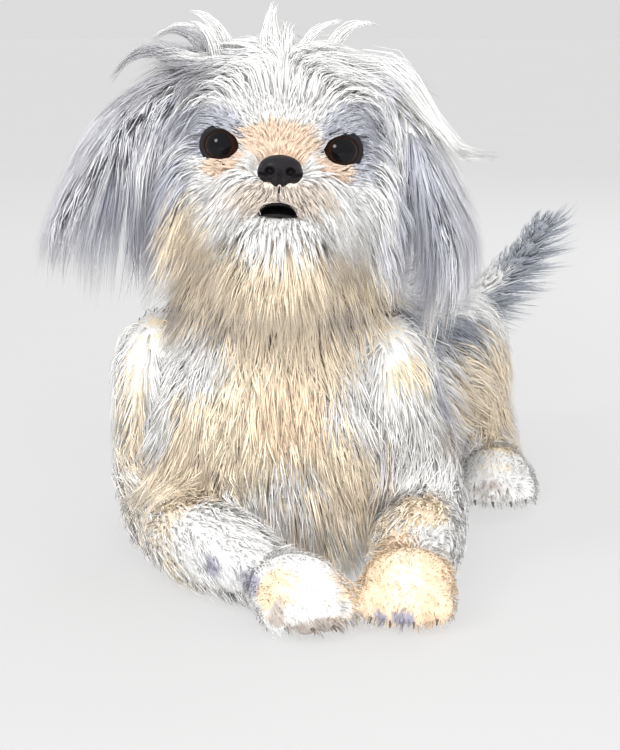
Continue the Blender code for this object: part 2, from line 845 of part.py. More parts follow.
def lids(side, collection):
    """A raised rim round the opening of the eye, an oval ring sunk in the flesh."""
    bpy.ops.mesh.primitive_torus_add(
        major_segments=14, minor_segments=5, major_radius=EYE_RADIUS * 0.84, minor_radius=LID_THICKNESS
    )
    ring = bpy.context.object
    ring.name = "lid_ring"
    upright = Matrix.Rotation(math.radians(90), 4, "X")
    oval = Matrix.Diagonal((1.06, 1.0, 0.88, 1.0))
    forward = Matrix.Translation((0, -0.55 * EYE_RADIUS, 0))
    opening = Matrix.Translation(eye_place(side)) @ eye_turn(side) @ forward
    ring.data.transform(HEAD @ opening @ oval @ upright)
    ring.matrix_world = Matrix.Identity(4)
    for holder in ring.users_collection:
        holder.objects.unlink(ring)
    collection.objects.link(ring)


def nose():
    """The nose leather with its two nostrils and the groove between them."""
    form = next(f for f in FORMS if f.node == "nose")
    obj = ellipsoid("nose", form.matrix(0.0), 16, 10)
    for side in (-1, 1):
        hole = Matrix.Translation((side * 0.0050, -0.0620, -0.0118)) @ Matrix.Rotation(side * 0.5, 4, "Y")
        size = Matrix.Diagonal((0.0026, 0.0042, 0.0019, 1.0))
        cutter = ellipsoid("nostril", HEAD @ hole @ size, 8, 6)
        cut(obj, cutter)
        remove(cutter)
    return obj


def mouth_cutter():
    """The slightly open mouth between the lips and the chin."""
    opening = Matrix.Translation((0.0, -0.046, -0.0285)) @ Matrix.Diagonal((0.0105, 0.014, 0.0026, 1.0))
    return ellipsoid("mouth_opening", HEAD @ opening, 12, 8)


def ear_cups(obj, side):
    """Hollows the side of the flap that faces the head."""
    if side > 0:
        hollow = Matrix.Translation((0.0605, 0.010, -0.004)) @ Matrix.Rotation(math.radians(-21), 4, "Y")
    else:
        hollow = Matrix.Translation((-0.0712, 0.008, 0.0005)) @ Matrix.Rotation(math.radians(40), 4, "Y")
    size = Matrix.Diagonal((0.0055, 0.013, 0.019, 1.0))
    cutter = ellipsoid("ear_hollow", HEAD @ hollow @ size, 10, 8)
    cut(obj, cutter)
    remove(cutter)


def finish(obj):
    name = FINISH_OF.get(obj.name, "cream_coat")
    colour, roughness = FINISHES[name]
    material = bpy.data.materials.get(name) or bpy.data.materials.new(name)
    material.use_nodes = True
    shader = material.node_tree.nodes["Principled BSDF"]
    shader.inputs["Base Color"].default_value = (*colour, 1.0)
    shader.inputs["Roughness"].default_value = roughness
    obj.data.materials.clear()
    obj.data.materials.append(material)


# From the piece that keeps its whole shape to the one that all the others are let into
LET_IN = (
    "eye_left",
    "eye_right",
    "nose",
    "muzzle",
    "jaw",
    "ear_left",
    "ear_right",
    "head",
    "forepaw_right",
    "forepaw_left",
    "hindpaw_left",
    "hindpaw_right",
    "tail",
    "foreleg_right",
    "foreleg_left",
    "hindleg_left",
    "hindleg_right",
    "neck",
    "torso",
)


def body(node):
    """One node with its coat, before its neighbours are let into it."""
    if node in ("eye_left", "eye_right"):
        return eye(1 if node == "eye_left" else -1)
    if node == "nose":
        return nose()
    obj = core(node)
    if node in ("ear_left", "ear_right"):
        ear_cups(obj, 1 if node == "ear_left" else -1)
    dress(node).fuse(obj)
    if node in ("muzzle", "jaw", "head"):
        opening = mouth_cutter()
        cut(obj, opening)
        remove(opening)
    return obj


def main():
    clear_scene()
    floor = floor_block()
    made = []
    for node in LET_IN:
        obj = body(node)
        if node not in HEAD_NODES and node != "neck":
            cut(obj, floor)
        for other in made:
            if near(obj, other):
                cutter = swollen(other)
                cut(obj, cutter)
                remove(cutter)
                cut(obj, other)
        finish(obj)
        made.append(obj)
    remove(floor)


main()
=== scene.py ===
"""A life-size Shih Tzu that lies with its head up, in a studio.

Units are metres, +Z is up, the dog looks along -Y and its left side is +X. The skin is bare flesh, and eyes,
lids, nose, lips and claws are pieces of their own. Every hair is a thin tapered blade of mesh that is rooted
in the skin, follows the lie of the coat and gathers with its neighbours into clumps, and these into locks.
"""

import functools
import json
import math
from collections import namedtuple

import bpy
import numpy as np
from bpy.props import FloatProperty, FloatVectorProperty, PointerProperty
from mathutils import Matrix, Vector
from mathutils.kdtree import KDTree

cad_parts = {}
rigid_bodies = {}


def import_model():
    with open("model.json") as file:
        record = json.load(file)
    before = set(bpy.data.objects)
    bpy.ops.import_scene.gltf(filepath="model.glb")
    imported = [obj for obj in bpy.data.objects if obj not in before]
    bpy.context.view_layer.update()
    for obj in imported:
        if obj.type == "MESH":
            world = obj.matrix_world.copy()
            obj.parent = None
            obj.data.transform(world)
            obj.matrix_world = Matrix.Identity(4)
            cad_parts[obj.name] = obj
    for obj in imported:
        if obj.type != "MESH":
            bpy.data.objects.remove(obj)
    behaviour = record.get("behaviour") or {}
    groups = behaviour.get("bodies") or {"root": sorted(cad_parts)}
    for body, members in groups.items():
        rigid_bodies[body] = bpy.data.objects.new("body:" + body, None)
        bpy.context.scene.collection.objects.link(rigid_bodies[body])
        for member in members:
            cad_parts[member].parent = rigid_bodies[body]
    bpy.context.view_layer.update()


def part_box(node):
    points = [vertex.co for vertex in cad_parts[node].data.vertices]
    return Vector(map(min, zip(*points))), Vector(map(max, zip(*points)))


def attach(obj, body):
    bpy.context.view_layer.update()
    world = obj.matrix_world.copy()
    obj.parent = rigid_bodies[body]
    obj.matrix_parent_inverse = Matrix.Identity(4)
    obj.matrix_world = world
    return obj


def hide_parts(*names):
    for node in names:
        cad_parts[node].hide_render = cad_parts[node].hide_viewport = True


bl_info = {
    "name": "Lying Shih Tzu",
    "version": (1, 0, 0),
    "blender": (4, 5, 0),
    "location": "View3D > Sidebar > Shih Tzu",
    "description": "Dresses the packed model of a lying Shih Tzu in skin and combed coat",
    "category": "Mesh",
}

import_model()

# How the head is carried: its centre, its turn to the left, the lift of the nose and its tilt
HEAD_PLACE = Vector((0.0125, -0.062, 0.207))
HEAD_YAW = math.radians(12.0)
HEAD_PITCH = math.radians(9.0)
HEAD_ROLL = math.radians(2.8)
HEAD = (
    Matrix.Translation(HEAD_PLACE)
    @ Matrix.Rotation(HEAD_YAW, 4, "Z")
    @ Matrix.Rotation(-HEAD_PITCH, 4, "X")
    @ Matrix.Rotation(HEAD_ROLL, 4, "Y")
)
HEAD_NODES = ("head", "muzzle", "jaw", "nose", "ear_left", "ear_right")
HEAD_TURN = np.array(HEAD.to_3x3())
HEAD_CENTRE = np.array(HEAD_PLACE)

# The tail leaves the rump and swings up to the left
TAIL_POINTS = ((0.022, 0.247, 0.078), (0.046, 0.298, 0.082), (0.078, 0.312, 0.102), (0.094, 0.314, 0.133))
TAIL_RADII = (0.0105, 0.0055)
TAIL_BEADS = 9

# Where the eyes sit in the head's own frame, how far they look outwards, and the mouth and the nostrils
EYE_DEPTH = -0.0262
EYE_HEIGHT = 0.0010
EYE_TURN = math.radians(9.0)
MOUTH_PLACE = (0.0, -0.0475, -0.0292)
MOUTH_RADII = (0.0092, 0.0120, 0.0030)
NOSE_PLACE = (0.0, -0.0545, -0.0112)
NOSTRIL_PLACE = (0.0048, -0.0605, -0.0116)
UNDER_NOSE = (0.0098, 0.0120, 0.0068)

# The size of the cells that blend the flesh, and how softly the forms run together in the field
SKIN_CELL = 0.0021
NOSE_CELL = 0.0005
BLEND = 0.0028
CHUNK = 8000

# How a hair leaves its root and turns with the lie of the coat
ROOT_DEPTH = 0.0008
COMB_STEPS = 9
TURN = 0.5
LIFT = 0.55
LEAST_HEIGHT = 0.0012
PATCH = 0.003
SEED = 11

# The share of shorter, broader hairs under the others, the reach of both kinds against the length of their
# clump, and how far a long hair strays from it
UNDERCOAT = 0.38
UNDERCOAT_WIDTH = 1.9
UNDERCOAT_REACH = (0.40, 0.65)
LONG_REACH = (0.66, 1.04)
STRAY = 0.0021
# How light the roots and the tips are against the coat's colour
ROOT_SHADE = 0.97
TIP_SHADE = 1.04

# How far the ridge of a hair stands up against half its width
RIDGE = 0.30


def place(node, point):
    """A point given in the head's own frame, or already in the dog's frame."""
    return HEAD @ Vector(point) if node in HEAD_NODES else Vector(point)


def to_head(points):
    """Points of the dog's frame in the head's own frame."""
    return (points - HEAD_CENTRE) @ HEAD_TURN


def from_head(points):
    """Points of the head's own frame in the dog's frame."""
    return points @ HEAD_TURN.T + HEAD_CENTRE


def vectors(x, y, z):
    return np.stack(np.broadcast_arrays(x, y, z), axis=-1).astype(float)


def unit(v):
    return v / np.maximum(np.linalg.norm(v, axis=-1, keepdims=True), 1e-9)


def ramp(value, low, high):
    """Rises softly from 0 at low to 1 at high."""
    t = np.clip((value - low) / (high - low), 0.0, 1.0)
    return t * t * (3 - 2 * t)


def mix(a, b, share):
    return a + (b - a) * np.asarray(share)[..., None]


def bezier(points, t):
    """The point at share t of a cubic curve."""
    a, b, c, d = (np.array(point) for point in points)
    t = np.asarray(t, float)[..., None]
    s = 1.0 - t
    return a * s**3 + b * (3 * s * s * t) + c * (3 * s * t * t) + d * t**3


class Form:
    """One ellipsoid of flesh: which node it belongs to, its centre, radii and turn (degrees)."""

    def __init__(self, node, centre, radii, turn=(0.0, 0.0, 0.0)):
        rx, ry, rz = (math.radians(a) for a in turn)
        spin = Matrix.Rotation(rz, 3, "Z") @ Matrix.Rotation(rx, 3, "X") @ Matrix.Rotation(ry, 3, "Y")
        self.node = node
        self.centre = place(node, centre)
        self.axes = HEAD.to_3x3() @ spin if node in HEAD_NODES else spin
        self.radii = Vector(radii)

    def matrix(self):
        size = Matrix.Diagonal([*self.radii, 1.0])
        return Matrix.Translation(self.centre) @ self.axes.to_4x4() @ size


def both(nodes, centre, radii, turn=(0.0, 0.0, 0.0), middle=0.0):
    """The left form and its mirror image across the plane x = middle. One name may stand for both."""
    left, right = nodes if isinstance(nodes, tuple) else (nodes, nodes)
    x, y, z = centre
    rx, ry, rz = turn
    return [Form(left, (x, y, z), radii, turn), Form(right, (2 * middle - x, y, z), radii, (rx, -ry, -rz))]


def head_forms(sizes):
    half = sizes.skull_width / 2
    pad = sizes.nose_width * 0.56
    return [
        Form("head", (0, 0.010, 0.010), (half, 0.048, 0.040)),
        Form("head", (0, 0.034, -0.016), (0.036, 0.026, 0.032)),
        Form("head", (0, -0.002, -0.030), (0.031, 0.030, 0.020)),
        Form("head", (0, -0.030, -0.005), (0.015, 0.014, 0.014)),
        *both("head", (0.019, -0.0205, 0.0160), (0.019, 0.016, 0.0135)),
        *both("head", (0.0288, -0.0185, 0.0010), (0.0140, 0.0112, 0.0130)),
        *both("head", (0.032, -0.010, -0.0165), (0.019, 0.025, 0.021)),
        Form("muzzle", (0, -0.040, -0.0165), (0.021, 0.018, 0.0115)),
        *both("muzzle", (pad, -0.0455, -0.0200), (0.0140, 0.0125, 0.0105), (0, 18, 12)),
        Form("jaw", (0, -0.0400, -0.0385), (0.0165, 0.0140, 0.0098)),
        Form("jaw", (0, -0.0240, -0.0350), (0.0210, 0.0190, 0.0120)),
        Form("nose", NOSE_PLACE, (sizes.nose_width / 2, 0.0076, 0.0080)),
        Form("ear_left", (0.047, 0.008, 0.026), (0.013, 0.018, 0.010), (0, 35, 0)),
        Form("ear_left", (0.062, 0.010, 0.010), (0.006, 0.023, 0.021), (0, -26, 0)),
        Form("ear_left", (0.072, 0.011, -0.014), (0.005, 0.021, 0.021), (0, -17, 0)),
        Form("ear_right", (-0.048, 0.006, 0.028), (0.015, 0.019, 0.009), (0, -22, 0)),
        Form("ear_right", (-0.068, 0.008, 0.015), (0.006, 0.023, 0.021), (0, 46, 0)),
        Form("ear_right", (-0.084, 0.009, -0.006), (0.005, 0.021, 0.020), (0, 34, 0)),
    ]


def trunk_forms(sizes):
    thick, thin = TAIL_RADII
    shares = np.linspace(0.0, 1.0, TAIL_BEADS)
    return [
        Form("neck", (0.0085, -0.030, 0.168), (0.040, 0.040, 0.036)),
        Form("neck", (0.003, -0.012, 0.138), (0.048, 0.047, 0.040)),
        Form("torso", (0, 0.018, 0.074), (sizes.chest_width / 2, 0.082, 0.074)),
        Form("torso", (0, 0.034, 0.106), (0.046, 0.056, 0.034)),
        Form("torso", (0, -0.034, 0.066), (0.052, 0.038, 0.060)),
        Form("torso", (0.008, 0.114, 0.064), (0.058, 0.084, 0.058)),
        Form("torso", (0.018, 0.202, 0.062), (sizes.rump_width / 2, 0.068, 0.056)),
        *(Form("tail", bezier(TAIL_POINTS, t), [thick + (thin - thick) * t] * 3) for t in shares),
    ]


def leg_forms(sizes):
    left, right = "foreleg_left", "foreleg_right"
    hind = ("hindleg_left", "hindleg_right")
    return [
        Form(left, (0.054, -0.012, 0.082), (0.023, 0.036, 0.044), (18, 8, 0)),
        Form(left, (0.065, -0.004, 0.048), (0.021, 0.028, 0.034)),
        Form(left, (0.075, -0.018, 0.026), (0.0185, 0.026, 0.022)),
        Form(left, (0.080, -0.064, 0.022), (0.0185, 0.054, 0.019), (0, 0, 4)),
        Form(right, (-0.054, -0.018, 0.082), (0.023, 0.036, 0.044), (22, -8, 0)),
        Form(right, (-0.055, -0.028, 0.048), (0.021, 0.028, 0.034)),
        Form(right, (-0.046, -0.046, 0.026), (0.0195, 0.026, 0.022), (0, 0, 20)),
        Form(right, (-0.014, -0.094, 0.022), (0.0185, 0.056, 0.019), (0, 0, 42)),
        *both(hind, (0.059, 0.204, 0.060), (0.026, 0.056, 0.048), middle=0.018),
        *both(hind, (0.068, 0.166, 0.040), (0.021, 0.026, 0.028), middle=0.018),
        *both(hind, (0.074, 0.196, 0.022), (0.0175, 0.044, 0.019), (0, 0, 4), middle=0.018),
        *both(hind, (0.078, 0.182, 0.017), (0.0160, 0.038, 0.0155), (0, 0, 14), middle=0.018),
        *(form for name, paw in PAWS.items() for form in paw_forms(name, paw, sizes.paw_width)),
    ]


# Each paw by its place on the floor, its turn to the left of straight ahead (degrees) and its size
Paw = namedtuple("Paw", "place turn size")
PAWS = {
    "forepaw_left": Paw((0.085, -0.124), 4, 1.0),
    "forepaw_right": Paw((0.037, -0.146), 38, 1.0),
    "hindpaw_left": Paw((0.091, 0.138), 15, 0.92),
    "hindpaw_right": Paw((-0.055, 0.142), -15, 0.92),
}
TOE_RADII = (0.0068, 0.0105, 0.0098)
TOES = ((-0.74, 0.012), (-0.26, 0.0185), (0.26, 0.0185), (0.74, 0.012))


def toe_places(paw, width):
    """The four toes across the front of a paw."""
    x, y = paw.place
    spin = Matrix.Rotation(math.radians(paw.turn), 3, "Z")
    half = width / 2 * paw.size
    offsets = [spin @ Vector((share * half, -reach * paw.size, 0)) for share, reach in TOES]
    return [(x + offset.x, y + offset.y, 0.0105 * paw.size) for offset in offsets]


def paw_forms(name, paw, width):
    x, y = paw.place
    pad = [size * paw.size for size in (width / 2, 0.026, 0.0165)]
    toe = [radius * paw.size for radius in TOE_RADII]
    forms = [Form(name, (x, y, 0.0165 * paw.size), pad, (0, 0, paw.turn))]
    return forms + [Form(name, point, toe, (0, 0, paw.turn)) for point in toe_places(paw, width)]


class Flesh:
    """All the forms as one soft field that many points are measured by at once."""

    def __init__(self, forms):
        self.forms = forms
        self.nodes = [form.node for form in forms]
        axes = np.array([form.axes for form in forms])
        centres = np.array([form.centre for form in forms])
        self.radii = np.array([form.radii for form in forms])
        self.shrink = (axes / self.radii[:, None, :]).transpose(1, 0, 2).reshape(3, -1)
        self.offset = (np.einsum("fij,fi->fj", axes, centres) / self.radii).reshape(-1)
        self.turn = axes.transpose(0, 2, 1).reshape(-1, 3)

    def measure(self, points):
        """Distance outside the flesh, the direction away from it, and the nearest form of each point."""
        flat = points.reshape(-1, 3)
        chunks = np.array_split(flat, 1 + len(flat) // CHUNK)
        distance, away, form = (np.concatenate(found) for found in zip(*map(self.measure_few, chunks)))
        shape = points.shape[:-1]
        return distance.reshape(shape), away.reshape(*shape, 3), form.reshape(shape)

    def measure_few(self, points):
        scaled = (points @ self.shrink - self.offset).reshape(len(points), -1, 3)
        reach = np.maximum(np.linalg.norm(scaled, axis=2), 1e-6)
        steep = scaled / self.radii
        steepness = np.maximum(np.linalg.norm(steep, axis=2), 1e-6)
        distance = reach * (reach - 1) / steepness
        nearest = distance.min(axis=1, keepdims=True)
        share = np.exp((nearest - distance) / BLEND)
        away = (steep * (share / steepness)[:, :, None]).reshape(len(points), -1) @ self.turn
        blended = nearest[:, 0] - BLEND * np.log(share.sum(axis=1))
        return blended, unit(away), distance.argmin(axis=1)


@functools.lru_cache(maxsize=1)
def flesh():
    sizes = bpy.context.scene.dog_sizes
    return Flesh(head_forms(sizes) + trunk_forms(sizes) + leg_forms(sizes))


def node_box(node):
    """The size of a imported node's box."""
    low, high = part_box(node)
    return high - low


def number(name, description, value, **kind):
    return FloatProperty(name=name, description=description, default=value, **kind)


class DogSizes(bpy.types.PropertyGroup):
    skull_width: number("Skull width", "Width of the skull under the skin", 0.092, unit="LENGTH")
    nose_width: number("Nose width", "Width of the nose leather", 0.0212, unit="LENGTH")
    eye_radius: number("Eye radius", "Radius of each eyeball", node_box("eye_left").x / 2, unit="LENGTH")
    eye_spacing: number("Eye spacing", "Distance between the eyes' centres", 0.0545, unit="LENGTH")
    chest_width: number("Chest width", "Width of the chest without its coat", 0.130, unit="LENGTH")
    rump_width: number("Rump width", "Width of the rump without its coat", 0.118, unit="LENGTH")
    paw_width: number("Paw width", "Width of a forepaw without its coat", 0.041, unit="LENGTH")


class DogCoat(bpy.types.PropertyGroup):
    density: number("Density", "Share of the full number of hairs", 1.0, subtype="FACTOR")
    length: number("Length", "Length of the coat against its natural length", 1.0, subtype="FACTOR")
    thickness: number("Thickness", "Width of the hairs against their natural width", 1.0, subtype="FACTOR")
    wave: number("Wave", "How far a long hair waves to its side", 0.0020, unit="LENGTH")
    gather: number("Gather", "How far a clump's hairs run together at its tip", 0.36, subtype="FACTOR")


def colour(name, description, value):
    look = {"default": value, "subtype": "COLOR", "min": 0, "max": 1}
    return FloatVectorProperty(name=name, description=description, **look)


class DogColours(bpy.types.PropertyGroup):
    white: colour("White", "The coat where it has no marking", (0.84, 0.835, 0.825))
    cream: colour("Cream", "Beard, chest, forelegs and flanks", (0.92, 0.79, 0.61))
    deep_cream: colour("Deep cream", "The middle of the chest and the forepaws", (0.90, 0.72, 0.52))
    peach: colour("Peach", "The bridge of the nose and the skin under the eyes", (0.91, 0.71, 0.55))
    beige: colour("Beige", "The stain round the mouth", (0.66, 0.575, 0.50))
    pale_grey: colour("Pale grey", "The light lengths of the ears", (0.71, 0.71, 0.75))
    blue_grey: colour("Blue grey", "The patches round the eyes", (0.50, 0.51, 0.57))
    ear_grey: colour("Ear grey", "The top of the right ear", (0.38, 0.38, 0.40))
    dark_grey: colour("Dark grey", "The saddle", (0.29, 0.31, 0.36))
    # Lavender is the flank's marking, and is also laid as painted shade in the creases between the toes of
    # the left forepaw
    lavender: colour("Lavender", "The flank and the spots on the paws", (0.42, 0.41, 0.49))
    # Painted shade: taupe laid under the beard and the neck, at the foot of the chest, low on the left side
    # and by the floor at the right forepaw and the flank
    taupe: colour("Taupe", "Small blotches under the neck and between the legs", (0.48, 0.42, 0.38))
    tail_grey: colour("Tail grey", "The plume of the tail", (0.37, 0.39, 0.44))
    leather: colour("Leather", "Nose, lips and rims of the lids", (0.009, 0.008, 0.009))
    iris: colour("Iris", "The iris of the eyes", (0.020, 0.009, 0.005))


class DogStudio(bpy.types.PropertyGroup):
    azimuth: number("Azimuth", "Turn of the camera to the dog's left", math.radians(12.0), subtype="ANGLE")
    elevation: number("Elevation", "Height of the camera's line", math.radians(5.0), subtype="ANGLE")
    distance: number("Distance", "From the camera to the head", 1.3, unit="LENGTH")
    key_power: number("Key light", "Power of the key light", 7.5, unit="POWER")
    floor: colour("Floor", "The floor of the studio", (0.20, 0.20, 0.20))


# A marking: its colour, its centre and radii in millimetres, whether they are in the head's own frame, and
# how far its edge frays
Mark = namedtuple("Mark", "colour centre radii on_head fray", defaults=(False, 0.35))


def head_mark(name, centre, radii, fray=0.35):
    return Mark(name, centre, radii, True, fray)


HEAD_MARKS = (
    # Both sides of the head and the nape behind the ears
    head_mark("blue_grey", (-40, 30, 6), (26, 30, 30)),
    head_mark("blue_grey", (42, 30, 2), (24, 30, 30)),
    # The right ear, which is darkest on top
    head_mark("pale_grey", (-76, -6, 6), (36, 40, 16)),
    head_mark("pale_grey", (-100, 0, -30), (20, 40, 36)),
    head_mark("blue_grey", (-72, 0, -44), (20, 40, 36)),
    head_mark("ear_grey", (-56, -4, 36), (30, 45, 21)),
    # A thin white streak along the top edge of the right ear: a painted highlight
    head_mark("white", (-46, -10, 43.5), (14, 30, 2.8), 0.2),
    # The left ear, light outside, with a grey band next to the cheek
    head_mark("pale_grey", (86, -10, -34), (18, 45, 34)),
    head_mark("blue_grey", (67, -12, -34), (12.5, 45, 40)),
    head_mark("pale_grey", (48, -8, 36), (7, 30, 18)),
    # Patches over the eyes that sweep down the outer side of the face
    head_mark("blue_grey", (-41, -30, 8), (24, 22, 12.5), 0.25),
    head_mark("blue_grey", (-55, -32, -34), (12.5, 30, 34)),
    head_mark("blue_grey", (34, -30, 6), (18.5, 22, 19), 0.25),
    # The bridge and the skin under the eyes
    head_mark("peach", (0, -42, 4), (19, 20, 10.5), 0.25),
    head_mark("peach", (-23, -37, -8.5), (14, 14, 6.5), 0.25),
    head_mark("peach", (21, -37, -8), (14, 14, 6.5), 0.25),
    # Beard and cheeks
    head_mark("cream", (0, -42, -68), (52, 40, 22)),
    head_mark("cream", (-41, -34, -54), (17, 30, 26)),
    head_mark("pale_grey", (53, -40, -52), (9, 30, 12)),
    head_mark("beige", (0, -55, -25), (25, 22, 10.5), 0.25),
    head_mark("white", (0, -54, -43), (19, 22, 12.5), 0.25),
)

BODY_MARKS = (
    # Cream from the throat over the chest and the forelegs
    Mark("cream", (4, -66, 136), (75, 62, 30)),
    Mark("cream", (4, -66, 80), (80, 62, 80)),
    Mark("deep_cream", (19, -82, 84), (23, 34, 18)),
    Mark("white", (-34, -56, 103), (26, 45, 16)),
    Mark("white", (-49, -56, 73), (8, 34, 16)),
    Mark("cream", (-5, -74, 91), (10, 22, 13)),
    Mark("white", (62, -46, 88), (22, 42, 28)),
    Mark("white", (80, -30, 55), (20, 42, 14)),
    Mark("cream", (74, -46, 98), (14, 24, 10)),
    Mark("white", (40, -66, 81.5), (5.5, 14, 4.5)),
    Mark("white", (25, -78, 53.5), (15, 16, 5)),
    # Painted shade in taupe under the beard and the neck and at the foot of the chest, and a small pale grey
    # spot on the front of the left foreleg
    Mark("taupe", (-40, -44, 130), (10.5, 20, 7)),
    Mark("taupe", (-17, -70, 126), (10, 22, 6)),
    Mark("taupe", (44, -62, 130), (12, 22, 6.5)),
    Mark("taupe", (4, -72, 37), (6, 16, 4.5)),
    Mark("taupe", (27, -74, 30), (12, 22, 5.5)),
    Mark("taupe", (62, -56, 42), (8.5, 18, 4.8)),
    Mark("pale_grey", (58, -40, 52), (5, 16, 7)),
    # The right foreleg and its paw
    Mark("white", (10, -120, 34), (46, 50, 22)),
    Mark("deep_cream", (30, -168, 22), (12, 14, 11)),
    Mark("lavender", (-7, -128, 22), (5, 14, 4.8)),
    Mark("lavender", (15, -150, 20), (10, 14, 5)),
    # Painted shade in taupe at the front of the right forepaw, down by the floor
    Mark("taupe", (34, -174, 12.5), (4.5, 10, 6.5)),
    Mark("taupe", (53, -168, 5), (16, 16, 6)),
    # The left foreleg and its paw
    Mark("deep_cream", (84, -134, 22), (30, 42, 28)),
    Mark("cream", (85.5, -138, 31), (7.5, 22, 15)),
    Mark("white", (93, -96, 31), (12, 22, 10)),
    Mark("cream", (85, -73, 42), (15, 24, 9)),
    # Painted shade in lavender in the creases between the toes
    Mark("lavender", (75.5, -155, 6), (4.8, 12, 4.5)),
    Mark("lavender", (88, -154, 6.5), (5.2, 12, 5)),
    # Saddle, flanks and lower rump
    Mark("pale_grey", (14, 150, 118), (34, 70, 22)),
    Mark("blue_grey", (-48, 85, 106), (24, 60, 22)),
    Mark("dark_grey", (72, 30, 120), (22, 46, 16)),
    Mark("dark_grey", (64, 112, 104), (26, 52, 18)),
    Mark("dark_grey", (76, 150, 88), (24, 30, 11)),
    Mark("lavender", (86, 24, 83), (18, 40, 19)),
    Mark("cream", (96, 150, 58), (30, 66, 28)),
    Mark("cream", (-58, 150, 56), (24, 60, 26)),
    # Painted shade in taupe low on the left side
    Mark("taupe", (91, -2, 60), (12, 30, 6.5)),
    Mark("cream", (93, 90, 24), (20, 26, 6)),
    # Painted shade in taupe where the flank meets the floor
    Mark("taupe", (91, 88, 12), (20, 26, 7.5)),
    # The tail, with a light upper edge at its root
    Mark("tail_grey", (82, 318, 112), (64, 50, 62)),
    Mark("white", (56, 296, 104), (22, 30, 10)),
)

FRAY_WAVES = ((210.0, 170.0, 130.0, 0.4), (-330.0, 410.0, 290.0, 1.7), (620.0, -540.0, 710.0, 2.9))


def frays(points):
    """An uneven field between -1 and 1 that breaks up the edges of the markings."""
    total = 0.0
    for x, y, z, phase in FRAY_WAVES:
        turned = 2.0 * np.sin(points @ np.array((z, x, y)))
        total = total + np.sin(points @ np.array((x, y, z)) + phase + turned)
    return total / len(FRAY_WAVES)


def coat_colour(points):
    """The colour of the coat at each point, white but for its markings."""
    colours = bpy.context.scene.dog_colours
    found = np.tile(np.array(colours.white), (len(points), 1))
    local, uneven = to_head(points), frays(points)
    high = points[:, 2] > 0.115
    for mark in BODY_MARKS + HEAD_MARKS:
        where = (local if mark.on_head else points) * 1000
        reach = np.linalg.norm((where - np.array(mark.centre)) / np.array(mark.radii), axis=1)
        share = 1.0 - ramp(reach + mark.fray * uneven, 0.86, 1.14)
        if mark.on_head:
            share = share * high
        found = mix(found, np.array(getattr(colours, mark.colour)), share)
    return found


def torso_lie(p):
    spine = 0.018 * np.clip((p[:, 1] - 0.02) / 0.19, 0, 1)
    side = (p[:, 0] - spine) / 0.07
    back = vectors(0.5 * side, 0.8, -0.2 - 0.85 * np.abs(side))
    return mix(back, vectors(0.5 * side, -0.2, -1.0), ramp(-p[:, 1], -0.005, 0.05))


def neck_lie(p):
    side = (p[:, 0] - 0.005) / 0.05
    back, throat = vectors(0.5 * side, 0.7, -0.7), vectors(0.45 * side, -0.35, -1.0)
    return mix(back, throat, ramp(-p[:, 1], 0.005, 0.035))


def head_lie(p):
    """Hair falls from the crown to both sides, and the short hair of the face fans out from the nose."""
    x, y, z = to_head(p).T
    out = np.clip(x / 0.022, -1, 1)
    face = ramp(-y, 0.012, 0.032)
    crown = vectors(out, 0.25 - 0.35 * face, 0.15 - 0.75 * np.abs(out))
    cheek = vectors(0.35 * out, 0.25 - 0.3 * face, -1.0)
    fall = mix(cheek, crown, ramp(z, 0.018, 0.038))
    reach = np.hypot(x, z + 0.006)
    fan = vectors(x / 0.022, 0.28, (z + 0.008) / 0.022 - 0.5 * ramp(np.abs(x), 0.026, 0.044))
    return mix(fall, fan, face * (1 - ramp(reach, 0.034, 0.050))) @ HEAD_TURN.T


def muzzle_lie(p):
    """The moustache is parted under the nose and sweeps to both sides."""
    x, y, z = to_head(p).T
    out = np.clip(x / 0.010, -1, 1)
    high = ramp(z, -0.018, -0.007)
    low = vectors(out * (0.55 + 0.75 * over_mouth(p)), 0.20, -0.85)
    return mix(low, vectors(out, 0.35, 0.10), high) @ HEAD_TURN.T


def over_mouth(p):
    """1 straight above the opening of the mouth, running out to its sides."""
    return 1 - ramp(np.abs(to_head(p)[:, 0]), 0.0085, 0.0150)


def jaw_lie(p):
    x = to_head(p)[:, 0]
    return vectors(x / 0.05, -0.16, -1.0) @ HEAD_TURN.T


def ear_right_lie(p):
    """The hair hangs at the inner edge of the flap and is blown outwards at its outer edge."""
    x, y, z = to_head(p).T
    fan = mix(vectors(0.04, -0.04, -1.0), vectors(-0.42, 0.0, -0.92), ramp(-x, 0.064, 0.094))
    fan = mix(vectors(0.0, 0.0, -1.0), fan, ramp(z, -0.050, -0.022))
    return mix(fan, vectors(-0.85, -0.08, -0.62), ramp(z, 0.008, 0.034)) @ HEAD_TURN.T


def ear_left_lie(p):
    """The hair falls in a curve over the outer edge of the flap and hangs from there."""
    x, y, z = to_head(p).T
    fan = mix(vectors(0.02, -0.05, -1.0), vectors(0.50, -0.03, -0.9), ramp(x, 0.056, 0.078))
    fan = mix(vectors(-0.12, -0.05, -1.0), fan, ramp(z, -0.048, -0.022))
    return mix(fan, vectors(0.62, -0.05, -0.90), ramp(z, 0.008, 0.032)) @ HEAD_TURN.T


def tail_share(p):
    """How far along the tail the nearest point of its curve is."""
    shares = np.linspace(0.0, 1.0, 21)
    line = bezier(TAIL_POINTS, shares)
    return shares[np.linalg.norm(p[:, None] - line[None], axis=2).argmin(axis=1)]


def tail_under(p, t):
    """1 on the lower and outer side of the tail, 0 on its upper side."""
    return ramp(unit(p - bezier(TAIL_POINTS, t)) @ np.array((0.75, 0.0, -0.65)), -0.1, 0.8)


